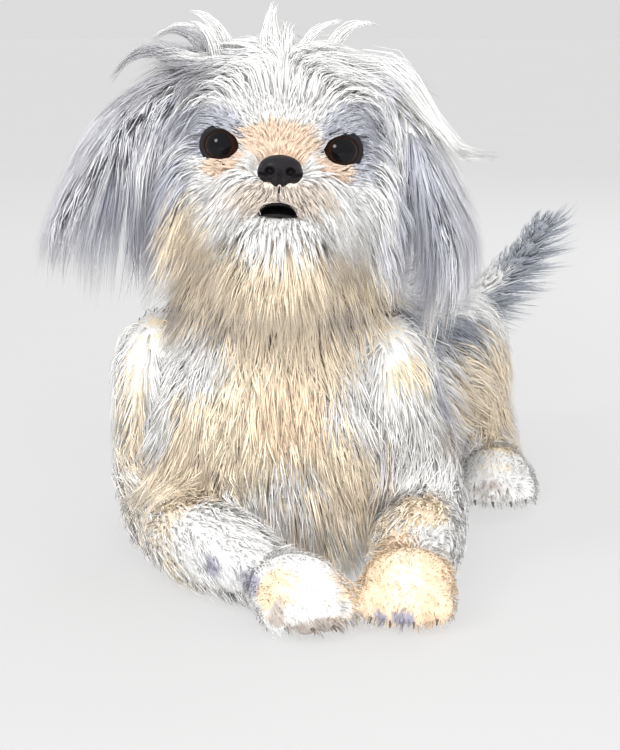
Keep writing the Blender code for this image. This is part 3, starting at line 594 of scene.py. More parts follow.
def tail_lie(p):
    """The plume follows the tail, and the hair of its lower side stands off it."""
    t = tail_share(p)
    ahead, behind = np.minimum(t + 0.05, 1), np.maximum(t - 0.05, 0)
    along = unit(bezier(TAIL_POINTS, ahead) - bezier(TAIL_POINTS, behind))
    off = unit(p - bezier(TAIL_POINTS, t))
    under = tail_under(p, t)[:, None]
    return along * (1.0 - 0.35 * under) + off * (0.50 * under) + vectors(0.10, 0.05, -0.10) * under


def leg_lie(forward, down=0.35):
    """Hair on a leg falls along it and a little down."""
    ahead = np.array(Vector(forward).normalized()) - np.array((0, 0, down))

    def lie(p):
        return mix(np.tile(ahead, (len(p), 1)), vectors(0.0, 0.35, -1.0), ramp(p[:, 2], 0.045, 0.075))

    return lie


def paw_lie(turn):
    ahead = math.radians(turn)
    return leg_lie((math.sin(ahead), -math.cos(ahead), 0.0), 0.45)


def crown_share(p):
    x, y, z = to_head(p).T
    return np.maximum(ramp(z, 0.016, 0.028), ramp(y, 0.018, 0.030))


def face_share(p):
    x, y, z = to_head(p).T
    return ramp(-y, 0.010, 0.018) * (1 - ramp(np.abs(x), 0.034, 0.044)) * (1 - crown_share(p))


def cheek_share(p):
    return (1 - crown_share(p)) * (1 - face_share(p))


def crown_length(p):
    x, y, z = to_head(p).T
    return 0.018 + 0.026 * ramp(z, 0.020, 0.044) + 0.030 * ramp(y, 0.010, 0.030)


def face_length(p):
    x, y, z = to_head(p).T
    return 0.0050 + 0.24 * np.maximum(np.hypot(x, z + 0.006) - 0.012, 0.0) + 0.016 * ramp(-z, 0.012, 0.030)


def cheek_length(p):
    x, y, z = to_head(p).T
    return 0.022 + 0.018 * ramp(np.abs(x), 0.034, 0.046) + 0.012 * ramp(-z, 0.018, 0.034)


def muzzle_length(p):
    x, y, z = to_head(p).T
    return 0.0050 + 0.025 * ramp(np.abs(x), 0.008, 0.022) * ramp(-z, 0.006, 0.018)


def jaw_length(p):
    x, y, z = to_head(p).T
    return 0.008 + 0.036 * ramp(-z, 0.034, 0.046) + 0.006 * ramp(np.abs(x), 0.010, 0.018)


def ear_left_length(p):
    x, y, z = to_head(p).T
    return 0.066 - 0.020 * ramp(x, 0.070, 0.092) * ramp(-z, -0.015, 0.018)


def ear_right_length(p):
    """Longest where it hangs from the inner half of the flap."""
    x, y, z = to_head(p).T
    return 0.078 - 0.034 * ramp(-x, 0.070, 0.092) * ramp(-z, -0.015, 0.018)


def tail_length(p):
    t = tail_share(p)
    return 0.007 + (0.035 - 0.014 * t) * tail_under(p, t)


def leg_length(p):
    return 0.020 + 0.026 * ramp(p[:, 2], 0.030, 0.070)


def hindleg_length(p):
    return 0.018 + 0.024 * ramp(p[:, 2], 0.025, 0.060)


def torso_length(p):
    return 0.046 + 0.006 * ramp(p[:, 1], 0.0, 0.05) - 0.008 * ramp(p[:, 1], 0.19, 0.23)


def even(value):
    """The same value at every point."""
    return lambda p: np.full(len(p), float(value))


# One piece of coat: where it roots, its hairs and their stations, length and width, how far its tips stand
# off the flesh, the cells of its locks and clumps, how far a lock strays, how it lies, and its finish
Coat = namedtuple("Coat", "nodes share count stations length width height lock clump sway lie slot")
WHITE, CREAM, GREY, LEATHER = "white_coat", "cream_coat", "grey_coat", "nose_leather"


def whole(node, *rest):
    """A coat over the whole of one node."""
    return Coat((node,), even(1), *rest)


def head_coat(share, *rest):
    return Coat(("head",), share, *rest, head_lie, WHITE)


def torso_coat(share, count, width, height, lock, clump, sway, slot):
    cells = (lock, clump, sway)
    return Coat(("torso",), share, count, 3, torso_length, width, height, *cells, torso_lie, slot)


def ear_coat(name, length, lie):
    return whole(name, 4900, 4, length, 0.00075, 0.0075, 0.008, 0.0032, 0.16, lie, GREY)


def foreleg_coat(name, forward):
    return whole(name, 3500, 3, leg_length, 0.00105, 0.0055, 0.008, 0.0028, 0.24, leg_lie(forward), CREAM)


def hindleg_coat(name, forward):
    lie = leg_lie(forward)
    return whole(name, 2300, 3, hindleg_length, 0.00115, 0.0065, 0.009, 0.0032, 0.24, lie, CREAM)


def paw_coat(name, paw):
    lie = paw_lie(paw.turn)
    return whole(name, 1350, 3, even(0.0080), 0.00055, 0.0022, 0.005, 0.0024, 0.20, lie, CREAM)


def chest_share(p):
    return 1 - ramp(p[:, 1], 0.004, 0.012)


def rump_share(p):
    return ramp(p[:, 1], 0.136, 0.144)


def back_share(p):
    return (1 - chest_share(p)) * (1 - rump_share(p))


COATS = {
    "coat_crown": head_coat(crown_share, 6600, 4, crown_length, 0.0007, 0.014, 0.008, 0.0032, 0.18),
    "coat_face": head_coat(face_share, 7600, 3, face_length, 0.00042, 0.0036, 0.005, 0.0022, 0.22),
    "coat_cheeks": head_coat(cheek_share, 5200, 4, cheek_length, 0.0007, 0.010, 0.007, 0.003, 0.28),
    "coat_muzzle": whole(
        "muzzle", 4500, 4, muzzle_length, 0.00046, 0.0045, 0.005, 0.0022, 0.22, muzzle_lie, WHITE
    ),
    "coat_beard": whole("jaw", 3600, 4, jaw_length, 0.00055, 0.0085, 0.006, 0.0026, 0.22, jaw_lie, CREAM),
    "coat_ear_left": ear_coat("ear_left", ear_left_length, ear_left_lie),
    "coat_ear_right": ear_coat("ear_right", ear_right_length, ear_right_lie),
    "coat_neck": whole("neck", 5200, 3, even(0.042), 0.0012, 0.009, 0.010, 0.0032, 0.26, neck_lie, CREAM),
    "coat_chest": torso_coat(chest_share, 7200, 0.0012, 0.009, 0.010, 0.0032, 0.26, CREAM),
    "coat_back": torso_coat(back_share, 5800, 0.0013, 0.010, 0.011, 0.0036, 0.28, WHITE),
    "coat_rump": torso_coat(rump_share, 5000, 0.0013, 0.010, 0.011, 0.0036, 0.28, WHITE),
    "coat_foreleg_left": foreleg_coat("foreleg_left", (0, -1, 0)),
    "coat_foreleg_right": foreleg_coat("foreleg_right", (0.7, -0.7, 0)),
    "coat_hindleg_left": hindleg_coat("hindleg_left", (0.1, -0.4, -0.5)),
    "coat_hindleg_right": hindleg_coat("hindleg_right", (-0.1, -0.4, -0.5)),
    **{f"coat_{name}": paw_coat(name, paw) for name, paw in PAWS.items()},
    "coat_tail": whole("tail", 2600, 4, tail_length, 0.0008, 0.005, 0.007, 0.003, 0.24, tail_lie, GREY),
}

# Single locks over the crown and the ears, in millimetres of the head's own frame: the points of their
# curves, their number of hairs and how wide they spread
Wisp = namedtuple("Wisp", "points count spread")
WISPS = (
    Wisp(((-10.5, -6, 44), (-12.5, -7, 56), (-9.5, -7.3, 65.7), (-6.6, -7.7, 72.2)), 26, 2.6),
    Wisp(((0.3, -6, 45), (-7.5, -7, 53.5), (-8.5, -7.1, 63.9), (-5.2, -7.7, 71.5)), 26, 2.4),
    Wisp(((6.6, -6, 46), (9.5, -7, 57), (17.6, -7, 63.3), (26.8, -7.1, 64.8)), 30, 3),
    Wisp(((19, -4, 46), (24.8, -6.9, 61.7), (34, -7.1, 65.9), (44, -6.9, 62.8)), 34, 3.4),
    Wisp(((-26.9, 2, 44), (-30, -6.9, 59.9), (-38.6, -7.3, 65), (-47.6, -7.4, 65.5)), 34, 3.4),
    Wisp(((-32.7, -18, 42), (-36, -16.6, 54.9), (-41.1, -16.8, 58.5), (-46.6, -17, 60)), 30, 3),
    Wisp(((-36.2, -4, 44), (-44, -7, 60.1), (-55.3, -6.9, 59.7), (-63.6, -6.4, 50)), 46, 4.2),
    Wisp(((-48, -4, 38), (-60, -6.4, 54), (-74.5, -6, 47), (-82.2, -5.1, 30)), 60, 5.5),
    Wisp(((40, -6, 42), (64, -4.7, 50), (69, -13, -6), (104.6, -2.5, 4.5)), 120, 6.5),
    Wisp(((34, -12, 43), (60, -14.7, 50), (70, -19.3, 6), (90, -12.5, 1)), 90, 7),
)
WISP_STATIONS = 6
WISP_WIDTH = 0.0007


def read(collection, name, width, kind=np.float64):
    values = np.empty(len(collection) * width, kind)
    collection.foreach_get(name, values)
    return values.reshape(-1, width)


class Hide:
    """The skin's triangles as arrays: where hair can root, on which node, and its place on the unwrap."""

    def __init__(self, mesh):
        mesh.calc_loop_triangles()
        points = read(mesh.vertices, "co", 3)
        corners = read(mesh.loop_triangles, "vertices", 3, np.int32)
        loops = read(mesh.loop_triangles, "loops", 3, np.int32)
        self.corners = points[corners]
        self.unwrap = read(mesh.uv_layers["OFBake"].uv, "vector", 2)[loops]
        a, b, c = self.corners.transpose(1, 0, 2)
        self.area = np.linalg.norm(np.cross(b - a, c - a), axis=1) / 2
        self.centres = self.corners.mean(axis=1)
        self.nodes = np.array(flesh().nodes)[flesh().measure(self.centres)[2]]

    def roots(self, rng, nodes, share, count):
        """Draws places for hairs, spread by area, and returns them with their places on the unwrap."""
        chance = self.area * share(self.centres) * np.isin(self.nodes, nodes) * bare(self.centres)
        pick = rng.choice(len(chance), count, p=chance / chance.sum())
        u, v = np.sqrt(rng.random(count)), rng.random(count)
        weights = np.stack((1 - u, u * (1 - v), u * v), axis=1)[:, :, None]
        return (self.corners[pick] * weights).sum(axis=1), (self.unwrap[pick] * weights).sum(axis=1)


@functools.lru_cache(maxsize=1)
def hide():
    return Hide(bpy.data.objects["skin"].data)


def eye_frame(side):
    """The frame of an eye: its centre, and its axis of sight along -Y."""
    spacing = bpy.context.scene.dog_sizes.eye_spacing
    centre = Matrix.Translation((side * spacing / 2, EYE_DEPTH, EYE_HEIGHT))
    return HEAD @ centre @ Matrix.Rotation(side * EYE_TURN, 4, "Z")


# An opening, or the nose, that no hair crosses: its frame, half its width and height, and how far in front
# of it the hair keeps clear
Opening = namedtuple("Opening", "matrix wide high front")


@functools.lru_cache(maxsize=1)
def openings():
    mouth, nose = (np.array(HEAD @ Matrix.Translation(spot)) for spot in (MOUTH_PLACE, NOSE_PLACE))
    eyes = [Opening(np.array(eye_frame(side)), 0.0090, 0.0070, 0.030) for side in (-1, 1)]
    return [*eyes, Opening(mouth, 0.0092, 0.0036, 0.024), Opening(nose, 0.0094, 0.0064, 0.020)]


def bare(points):
    """False where no hair grows: under the body and the nose, in the mouth and behind the eyes."""
    keep = points[:, 2] > 0.004
    for opening in openings():
        x, y, z = ((points - opening.matrix[:3, 3]) @ opening.matrix[:3, :3]).T
        keep &= (np.hypot(x / opening.wide, z / opening.high) > 1.08) | (y > 0.014)
    return keep


def clear_openings(points):
    """Moves points out of the openings, away from their middles."""
    for opening in openings():
        turn, centre = opening.matrix[:3, :3], opening.matrix[:3, 3]
        x, y, z = np.moveaxis((points - centre) @ turn, -1, 0)
        reach = np.maximum(np.hypot(x / opening.wide, z / opening.high), 1e-3)
        inside = (reach < 1) & (y < 0.012) & (y > -opening.front)
        scale = np.where(inside, 1 / reach, 1.0)
        moved = np.stack((x * scale, y, z * scale), axis=-1)
        points = np.where(inside[..., None], moved @ turn.T + centre, points)
    return points


def settle(points, height):
    """Lifts points to a height over the flesh and the floor and out of the openings."""
    distance, away, _ = flesh().measure(points)
    points = clear_openings(points + away * np.maximum(height - distance, 0.0)[..., None])
    points[..., 2] = np.maximum(points[..., 2], LEAST_HEIGHT)
    return points, away


def comb(roots, normals, coat, length, height, sway):
    """Lays hairs along the lie of the coat, clear of the flesh, and returns their paths and normals."""
    point = roots - normals * ROOT_DEPTH
    heading = unit(unit(coat.lie(roots)) + normals * LIFT)
    path, sides = [point], [normals]
    for step in range(1, COMB_STEPS + 1):
        wanted = unit(coat.lie(point))
        wanted = unit(wanted + np.cross(sides[-1], wanted) * sway[:, None])
        heading = unit(mix(heading, wanted, np.full(len(point), TURN)))
        rise = 1 - (1 - step / COMB_STEPS) ** 3
        point, away = settle(point + heading * (length / COMB_STEPS)[:, None], height * rise)
        path.append(point)
        sides.append(unit(mix(sides[-1], away, np.full(len(point), 0.6))))
    return np.stack(path, axis=1), np.stack(sides, axis=1)


def nearest(places, points):
    """For each point the index of the nearest place."""
    tree = KDTree(len(places))
    for index, spot in enumerate(places):
        tree.insert(spot, index)
    tree.balance()
    return np.array([tree.find(point)[1] for point in points])


def spread(points, cell):
    """Indexes of points that are one to a cell."""
    _, first = np.unique(np.floor(points / cell).astype(int), axis=0, return_index=True)
    return np.sort(first)


def sampled(paths, shares):
    """Points along paths of even steps at the given shares of their length."""
    steps = paths.shape[1] - 1
    at = np.clip(shares, 0, 1) * steps
    low = np.minimum(at.astype(int), steps - 1)
    rows = np.arange(len(paths))[:, None]
    return mix(paths[rows, low], paths[rows, low + 1], at - low)


def gathered(paths, leaders, offsets, pull):
    """Draws paths towards the paths they follow, most at their tips."""
    t = np.linspace(0.0, 1.0, paths.shape[1])
    followed = leaders + offsets[:, None] * (1 - pull * t)[None, :, None]
    return mix(paths, followed, np.broadcast_to(pull * ramp(t, 0.0, 0.6), paths.shape[:2]))


def grow(coat, rng):
    """The hairs of one piece: their paths, normals, widths and places on the unwrap."""
    look = bpy.context.scene.dog_coat
    count = int(coat.count * look.density)
    roots, unwrap = hide().roots(rng, coat.nodes, coat.share, count)
    tuft = spread(roots, coat.clump)
    lead = spread(roots[tuft], coat.lock)
    lock_of = nearest(roots[tuft][lead], roots[tuft])
    tuft_of = nearest(roots[tuft], roots)
    normals = flesh().measure(roots[tuft])[1]
    length = coat.length(roots[tuft]) * look.length * rng.uniform(0.88, 1.12, len(tuft))
    stray = rng.uniform(-coat.sway, coat.sway, len(lead))[lock_of] + rng.uniform(-0.12, 0.12, len(tuft))
    height = coat.height * rng.uniform(0.25, 1.0, len(tuft)) ** 0.7
    paths, sides = comb(roots[tuft], normals, coat, length, height, stray)
    chiefs = paths[lead][lock_of]
    paths = gathered(paths, chiefs, roots[tuft] - roots[tuft][lead][lock_of], 0.5 * look.gather)
    short = rng.random(count) < UNDERCOAT
    reach = np.where(short, rng.uniform(*UNDERCOAT_REACH, count), rng.uniform(*LONG_REACH, count))
    shares = np.linspace(0.0, 1.0, coat.stations)[None] * reach[:, None]
    hair, side = sampled(paths[tuft_of], shares), unit(sampled(sides[tuft_of], shares))
    offset = roots - roots[tuft][tuft_of]
    hair += offset[:, None] * (1 - look.gather * shares ** 0.8)[..., None]
    return *finished(hair, side, shares, look, rng, tuft_of, length), unwrap, reach


def finished(hair, side, shares, look, rng, tuft_of, length):
    """Adds the waves and stray ends, and settles the hairs on the flesh."""
    count = len(hair)
    along = unit(np.gradient(hair, axis=1))
    across = unit(np.cross(along, side))
    long = np.clip(length[tuft_of] / 0.045, 0.15, 1.2)[:, None]
    phase = rng.uniform(0, 2 * math.pi, tuft_of.max() + 1)[tuft_of] + rng.normal(0, 0.5, count)
    wave = np.sin(shares * long * 9.0 + phase[:, None]) * shares * look.wave * long
    loose = rng.normal(0, 1, (count, 1)) * shares**1.5 * STRAY * long
    lifted = rng.uniform(0, 1, (count, 1)) * shares * STRAY * long
    hair = hair + across * (wave + loose)[..., None] + side * lifted[..., None]
    hair[:, 1:] = settle(hair[:, 1:], 0.0004)[0]
    return hair, side


def blades(name, hair, side, width, colours, unwrap):
    """One mesh of closed, tapered hairs, three-sided, flat and pointed."""
    count, stations = hair.shape[:2]
    along = unit(np.gradient(hair, axis=1))
    across = unit(np.cross(along, side))
    up = np.cross(across, along)
    t = np.linspace(0.0, 1.0, stations)[:-1]
    half = 0.5 * width[:, None] * ((0.62 + 0.9 * t) * (1 - t) ** 0.55)[None]
    across, up, centre = across[:, :-1] * half[..., None], up[:, :-1] * half[..., None], hair[:, :-1]
    rings = np.stack((centre - across, centre + across, centre + up * RIDGE), axis=2)
    points = np.concatenate((rings.reshape(count, -1, 3), hair[:, -1:]), axis=1)
    each = points.shape[1]
    faces, spots = blade_faces(stations)
    triangles = (faces[None] + (np.arange(count) * each)[:, None, None]).reshape(-1, 3)
    mesh = bpy.data.meshes.new(name)
    fill(mesh, points.reshape(-1, 3), triangles)
    layer = mesh.uv_layers.new(name="OFBake")
    corners = np.clip(unwrap, 0, 1 - PATCH)[:, None] + spots.reshape(1, -1, 2) * PATCH
    layer.uv.foreach_set("vector", corners.astype(np.float32).ravel())
    shade = np.append(np.repeat(ROOT_SHADE + (TIP_SHADE - ROOT_SHADE) * t, 3), TIP_SHADE)
    tint = np.clip(colours[:, None] * shade[None, :, None], 0, 1)
    paint(mesh, tint.reshape(-1, 3))
    obj = bpy.data.objects.new(name, mesh)
    bpy.context.scene.collection.objects.link(obj)
    return obj


def blade_faces(stations):
    """The triangles of one hair, and the place of each of their corners on its patch."""
    faces = [(0, 1, 2)]
    for ring in range(stations - 2):
        low, high = 3 * ring, 3 * ring + 3
        for i, j in ((0, 1), (1, 2), (2, 0)):
            faces += [(low + i, high + j, low + j), (low + i, high + i, high + j)]
    last, tip = 3 * (stations - 2), 3 * (stations - 1)
    faces += [(last + i, tip, last + j) for i, j in ((0, 1), (1, 2), (2, 0))]
    across = np.append(np.tile((0.0, 1.0, 0.5), stations - 1), 0.5)
    along = np.append(np.repeat(np.linspace(0, 1, stations)[:-1], 3), 1.0)
    faces = np.array(faces)
    return faces, np.stack((across[faces], along[faces]), axis=-1)


def fill(mesh, points, triangles):
    """Gives a mesh its points and triangles from arrays."""
    mesh.vertices.add(len(points))
    mesh.vertices.foreach_set("co", points.astype(np.float32).ravel())
    mesh.loops.add(triangles.size)
    mesh.loops.foreach_set("vertex_index", triangles.astype(np.int32).ravel())
    mesh.polygons.add(len(triangles))
    mesh.polygons.foreach_set("loop_start", np.arange(0, triangles.size, 3, dtype=np.int32))
    mesh.update(calc_edges=True)
    mesh.shade_smooth()


def paint(mesh, colours):
    """Stores a colour at every point of a mesh."""
    layer = mesh.color_attributes.new("Coat", "FLOAT_COLOR", "POINT")
    values = np.ones((len(colours), 4), np.float32)
    values[:, :3] = colours
    layer.data.foreach_set("color", values.ravel())


def deselect():
    for obj in bpy.context.view_layer.objects:
        obj.select_set(False)


def activate(obj):
    deselect()
    bpy.context.view_layer.objects.active = obj
    obj.select_set(True)


def applied(obj, kind, **settings):
    """Adds a modifier to an object, sets it and applies it."""
    activate(obj)
    modifier = obj.modifiers.new(kind.lower(), kind)
    for name, value in settings.items():
        setattr(modifier, name, value)
    bpy.ops.object.modifier_apply(modifier=modifier.name)
    return obj


def joined(name, parts):
    """Joins meshes into one object at the origin."""
    deselect()
    for part in parts:
        part.select_set(True)
    bpy.context.view_layer.objects.active = parts[0]
    if len(parts) > 1:
        bpy.ops.object.join()
    obj = bpy.context.view_layer.objects.active
    obj.name = obj.data.name = name
    return obj


def ball(matrix, segments=28, rings=18):
    """A sphere of radius 1 brought to its size and place."""
    deselect()
    bpy.ops.mesh.primitive_uv_sphere_add(segments=segments, ring_count=rings, radius=1.0)
    obj = bpy.context.object
    obj.data.transform(matrix)
    return obj


def in_head(centre, radii):
    """Brings a ball of radius 1 to its size and its place in the head's own frame."""
    return HEAD @ Matrix.Translation(centre) @ Matrix.Diagonal([*radii, 1.0])


def reshaped(obj, shape):
    """Moves every point of a mesh by a function on the array of its points."""
    points = shape(read(obj.data.vertices, "co", 3))
    obj.data.vertices.foreach_set("co", points.astype(np.float32).ravel())
    obj.data.update()
    return obj


def smooth(obj):
    activate(obj)
    bpy.ops.object.shade_smooth()


def unwrap(obj, name="OFBake"):
    """Unwraps a mesh by its own shape."""
    activate(obj)
    layers = obj.data.uv_layers
    for layer in list(layers):
        layers.remove(layer)
    layers.new(name=name)
    bpy.ops.object.mode_set(mode="EDIT")
    bpy.ops.mesh.select_all(action="SELECT")
    bpy.ops.uv.smart_project(angle_limit=math.radians(66), island_margin=0.002)
    bpy.ops.object.mode_set(mode="OBJECT")


def shown(obj, material, replaces=()):
    """Gives a finished piece its material, body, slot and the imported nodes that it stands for."""
    obj.data.materials.clear()
    obj.data.materials.append(material)
    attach(obj, "root")
    if replaces:
        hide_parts(*replaces)


def completed(obj, material, replaces=()):
    """Unwraps, smooths and shows a modelled piece."""
    unwrap(obj)
    smooth(obj)
    shown(obj, material, replaces)


class Wire:
    """A socket that takes part in arithmetic: each operator adds a Math node to the material."""

    def __init__(self, finish, socket):
        self.finish, self.socket = finish, socket

    def math(self, operation, *values):
        return self.finish.node("ShaderNodeMath", {"operation": operation}, {0: values[0], 1: values[1]})

    def __add__(self, other):
        return self.math("ADD", self, other)

    def __sub__(self, other):
        return self.math("SUBTRACT", self, other)

    def __mul__(self, other):
        return self.math("MULTIPLY", self, other)

    def __rsub__(self, other):
        return self.math("SUBTRACT", other, self)

    __radd__ = __add__
    __rmul__ = __mul__


class Finish:
    """A material that is built up from nodes around one shader."""

    def __init__(self, name, **sockets):
        self.material = bpy.data.materials.new(name)
        self.material.use_nodes = True
        self.tree = self.material.node_tree
        self.shader = self.tree.nodes["Principled BSDF"]
        for socket, value in sockets.items():
            self.set(self.shader.inputs[socket.replace("_", " ")], value)

    def set(self, socket, value):
        if isinstance(value, Wire):
            self.tree.links.new(value.socket, socket)
        elif hasattr(value, "__len__") and len(value) == 3 and socket.type == "RGBA":
            socket.default_value = (*value, 1.0)
        else:
            socket.default_value = value

    def node(self, kind, settings, inputs, output=0):
        """Adds a node of any type: its settings first, then the values or links of its sockets."""
        node = self.tree.nodes.new(kind)
        for name, value in settings.items():
            if name == "stops":
                self.stops(node.color_ramp, value)
            else:
                setattr(node, name, value)
        for socket, value in inputs.items():
            self.set(node.inputs[socket], value)
        return Wire(self, node.outputs[output])

    def stops(self, ramp_, stops):
        """Sets the stops of a colour ramp, each a place and a colour."""
        while len(ramp_.elements) < len(stops):
            ramp_.elements.new(0.5)
        for element, (position, value) in zip(ramp_.elements, stops):
            element.position = position
            element.color = (*value, 1.0)

    def tinted(self, colour_, factor):
        """A colour made lighter or darker by a number."""
        grey = self.node("ShaderNodeCombineColor", {}, {0: factor, 1: factor, 2: factor})
        settings = {"data_type": "RGBA", "blend_type": "MULTIPLY"}
        return self.node("ShaderNodeMix", settings, {0: 1.0, 6: colour_, 7: grey}, 2)

    def blend(self, share, first, second):
        return self.node("ShaderNodeMix", {"data_type": "RGBA"}, {0: share, 6: first, 7: second}, 2)

    def attribute(self, name, output="Color"):
        return self.node("ShaderNodeAttribute", {"attribute_name": name}, {}, output)

    def place(self):
        return self.node("ShaderNodeTexCoord", {}, {}, "Object")

    def noise(self, scale, detail=3.0, stretch=None):
        """Noise in the dog's own metres, and stretched where it runs along the hair."""
        where = self.place()
        if stretch:
            where = self.node("ShaderNodeMapping", {}, {"Vector": where, "Scale": stretch})
        return self.node("ShaderNodeTexNoise", {}, {"Vector": where, "Scale": scale, "Detail": detail})

    def use(self, **sockets):
        for name, value in sockets.items():
            self.set(self.shader.inputs[name.replace("_", " ")], value)

    def bump(self, height, distance, strength=1.0):
        inputs = {"Height": height, "Distance": distance, "Strength": strength}
        self.use(Normal=self.node("ShaderNodeBump", {}, inputs))


@functools.lru_cache(maxsize=None)
def hair_finish():
    """Single hairs: the coat's own colours with darker and lighter strands and a soft sheen."""
    finish = Finish("hair", Specular_IOR_Level=0.22, Sheen_Weight=0.20, Sheen_Roughness=0.5)
    strands = finish.noise(700.0, 2.0, (1.0, 1.0, 0.25))
    patches = finish.noise(38.0, 2.0)
    factor = 0.90 + strands * 0.14 + patches * 0.08
    base = finish.tinted(finish.attribute("Coat"), factor)
    finish.use(Base_Color=base, Roughness=0.58 + strands * 0.16)
    return finish.material


@functools.lru_cache(maxsize=None)
def skin_finish():
    """The skin with the roots of the hair, coloured as the coat over it."""
    finish = Finish("skin", Specular_IOR_Level=0.3)
    strands = finish.noise(900.0, 3.0, (1.0, 1.0, 0.3))
    base = finish.tinted(finish.attribute("Coat"), 0.88 + strands * 0.30)
    finish.use(Base_Color=base, Roughness=0.62 + strands * 0.2)
    finish.bump(strands, 0.0006)
    return finish.material


@functools.lru_cache(maxsize=None)
def leather_finish():
    """Moist pebbled leather of the nose, the lips and the rims of the lids."""
    colours = bpy.context.scene.dog_colours
    finish = Finish("leather", Coat_Roughness=0.25, Specular_IOR_Level=0.16)
    cells = {"Vector": finish.place(), "Scale": 1150.0}
    pebbles = finish.node("ShaderNodeTexVoronoi", {"feature": "DISTANCE_TO_EDGE"}, cells)
    raised = finish.node("ShaderNodeMapRange", {}, {"Value": pebbles, "From Max": 0.22})
    wet = finish.noise(160.0)
    light = tuple(min(1.0, value * 2.0) for value in colours.leather)
    finish.use(
        Base_Color=finish.blend(raised * 0.5 + wet * 0.2, tuple(colours.leather), light),
        Roughness=0.34 + wet * 0.22,
        Coat_Weight=0.05 + wet * 0.12,
    )
    finish.bump(raised, 0.00016, 0.7)
    return finish.material


@functools.lru_cache(maxsize=None)
def eye_finish():
    """A dark brown eye with a black pupil, a fibrous iris and a clear wet front."""
    iris = tuple(bpy.context.scene.dog_colours.iris)
    black, rim = (0.002, 0.002, 0.003), tuple(value * 0.25 for value in iris)
    finish = Finish("eye", Roughness=0.10, Coat_Weight=0.25, Coat_Roughness=0.02, Specular_IOR_Level=0.12)
    fibres = finish.noise(1400.0, 4.0)
    turned = finish.attribute("Gaze", "Fac") + (fibres - 0.5) * 0.05
    stops = ((0.0, black), (0.34, black), (0.39, iris), (0.60, iris), (0.66, rim), (1.0, rim))
    ring = finish.node("ShaderNodeValToRGB", {"stops": stops}, {0: turned})
    finish.use(Base_Color=finish.tinted(ring, 0.6 + fibres * 0.8))
    return finish.material


@functools.lru_cache(maxsize=None)
def claw_finish():
    """Dark horn with lighter streaks and fine growth lines."""
    finish = Finish("claw", Specular_IOR_Level=0.5, Coat_Weight=0.2)
    grain = finish.noise(900.0, 3.0, (1.0, 1.0, 3.0))
    horn = finish.blend(grain, (0.075, 0.062, 0.054), (0.21, 0.175, 0.145))
    finish.use(Base_Color=horn, Roughness=0.3 + grain * 0.2)
    finish.bump(grain, 0.0001)
    return finish.material


@functools.lru_cache(maxsize=None)
def floor_finish():
    """A pale matt floor with a faint grain and the glow that evens it out."""
    glow = {"Emission_Color": (1.0, 1.0, 1.0), "Emission_Strength": FLOOR_GLOW}
    finish = Finish("floor", Specular_IOR_Level=0.1, **glow)
    grain = finish.noise(9.0)
    base = tuple(bpy.context.scene.dog_studio.floor)
    finish.use(Base_Color=finish.tinted(base, 0.98 + grain * 0.04), Roughness=0.6 + grain * 0.15)
    return finish.material


class DOG_OT_skin(bpy.types.Operator):
    """Blend the flesh of every part into one skin, open the mouth and unwrap it"""

    bl_idname = "dog.skin"
    bl_label = "Skin"

    def execute(self, context):
        forms = [form for form in flesh().forms if form.node != "nose"]
        skin = joined("skin", [ball(form.matrix()) for form in forms])
        applied(skin, "REMESH", mode="VOXEL", voxel_size=SKIN_CELL)
        applied(skin, "SMOOTH", factor=0.5, iterations=6)
        opening = ball(in_head(MOUTH_PLACE, MOUTH_RADII), 40, 24)
        applied(skin, "BOOLEAN", operation="DIFFERENCE", object=opening, solver="MANIFOLD")
        bpy.data.objects.remove(opening)
        reshaped(skin, lambda points: np.maximum(points, (-np.inf, -np.inf, 0.0)))
        points = read(skin.data.vertices, "co", 3)
        leather = np.array(context.scene.dog_colours.leather)
        paint(skin.data, mix(leather[None], coat_colour(points), self.furred(points)))
        completed(skin, skin_finish(), sorted(set(flesh().nodes) - {"nose"}))
        return {"FINISHED"}

    def furred(self, points):
        """1 where the skin carries hair, 0 in the mouth and under the nose."""
        local = to_head(points)
        mouth = np.linalg.norm((local - np.array(MOUTH_PLACE)) / (np.array(MOUTH_RADII) * 1.12), axis=1)
        nose = np.linalg.norm((local - np.array(NOSE_PLACE)) / UNDER_NOSE, axis=1)
        return ramp(mouth, 0.95, 1.10) * ramp(nose, 0.85, 1.0)


class DOG_OT_eyes(bpy.types.Operator):
    """Model both eyeballs with the bulge of the cornea"""

    bl_idname = "dog.eyes"
    bl_label = "Eyes"

    def execute(self, context):
        radius = context.scene.dog_sizes.eye_radius
        for side, name in ((1, "eye_left"), (-1, "eye_right")):
            ahead = Matrix.Rotation(math.radians(90), 4, "X")
            eye = ball(Matrix.Identity(4), 64, 40)
            gaze = np.arccos(np.clip(read(eye.data.vertices, "co", 3)[:, 2], -1, 1)) / (math.pi / 2)
            bulge = 0.07 * (1 - ramp(gaze, 0.0, 0.62))
            reshaped(eye, lambda points: points * (1 + bulge)[:, None] * radius)
            eye.data.transform(eye_frame(side) @ ahead)
            layer = eye.data.attributes.new("Gaze", "FLOAT", "POINT")
            layer.data.foreach_set("value", gaze.astype(np.float32))
            eye.name = f"{name}_ball"
            completed(eye, eye_finish(), [name])
        return {"FINISHED"}


def almond(turn):
    """How far the opening of the lids reaches from the line of sight, by the angle round it.

    The corner that points to the nose is drawn out.
    """
    corner = np.exp(-((np.abs(turn) - math.pi) ** 2) / 0.11)
    wide, high = math.radians(46.0), math.radians(38.0)
    oval = 1 / np.hypot(np.cos(turn) / wide, np.sin(turn) / high)
    return oval + math.radians(24.0) * corner


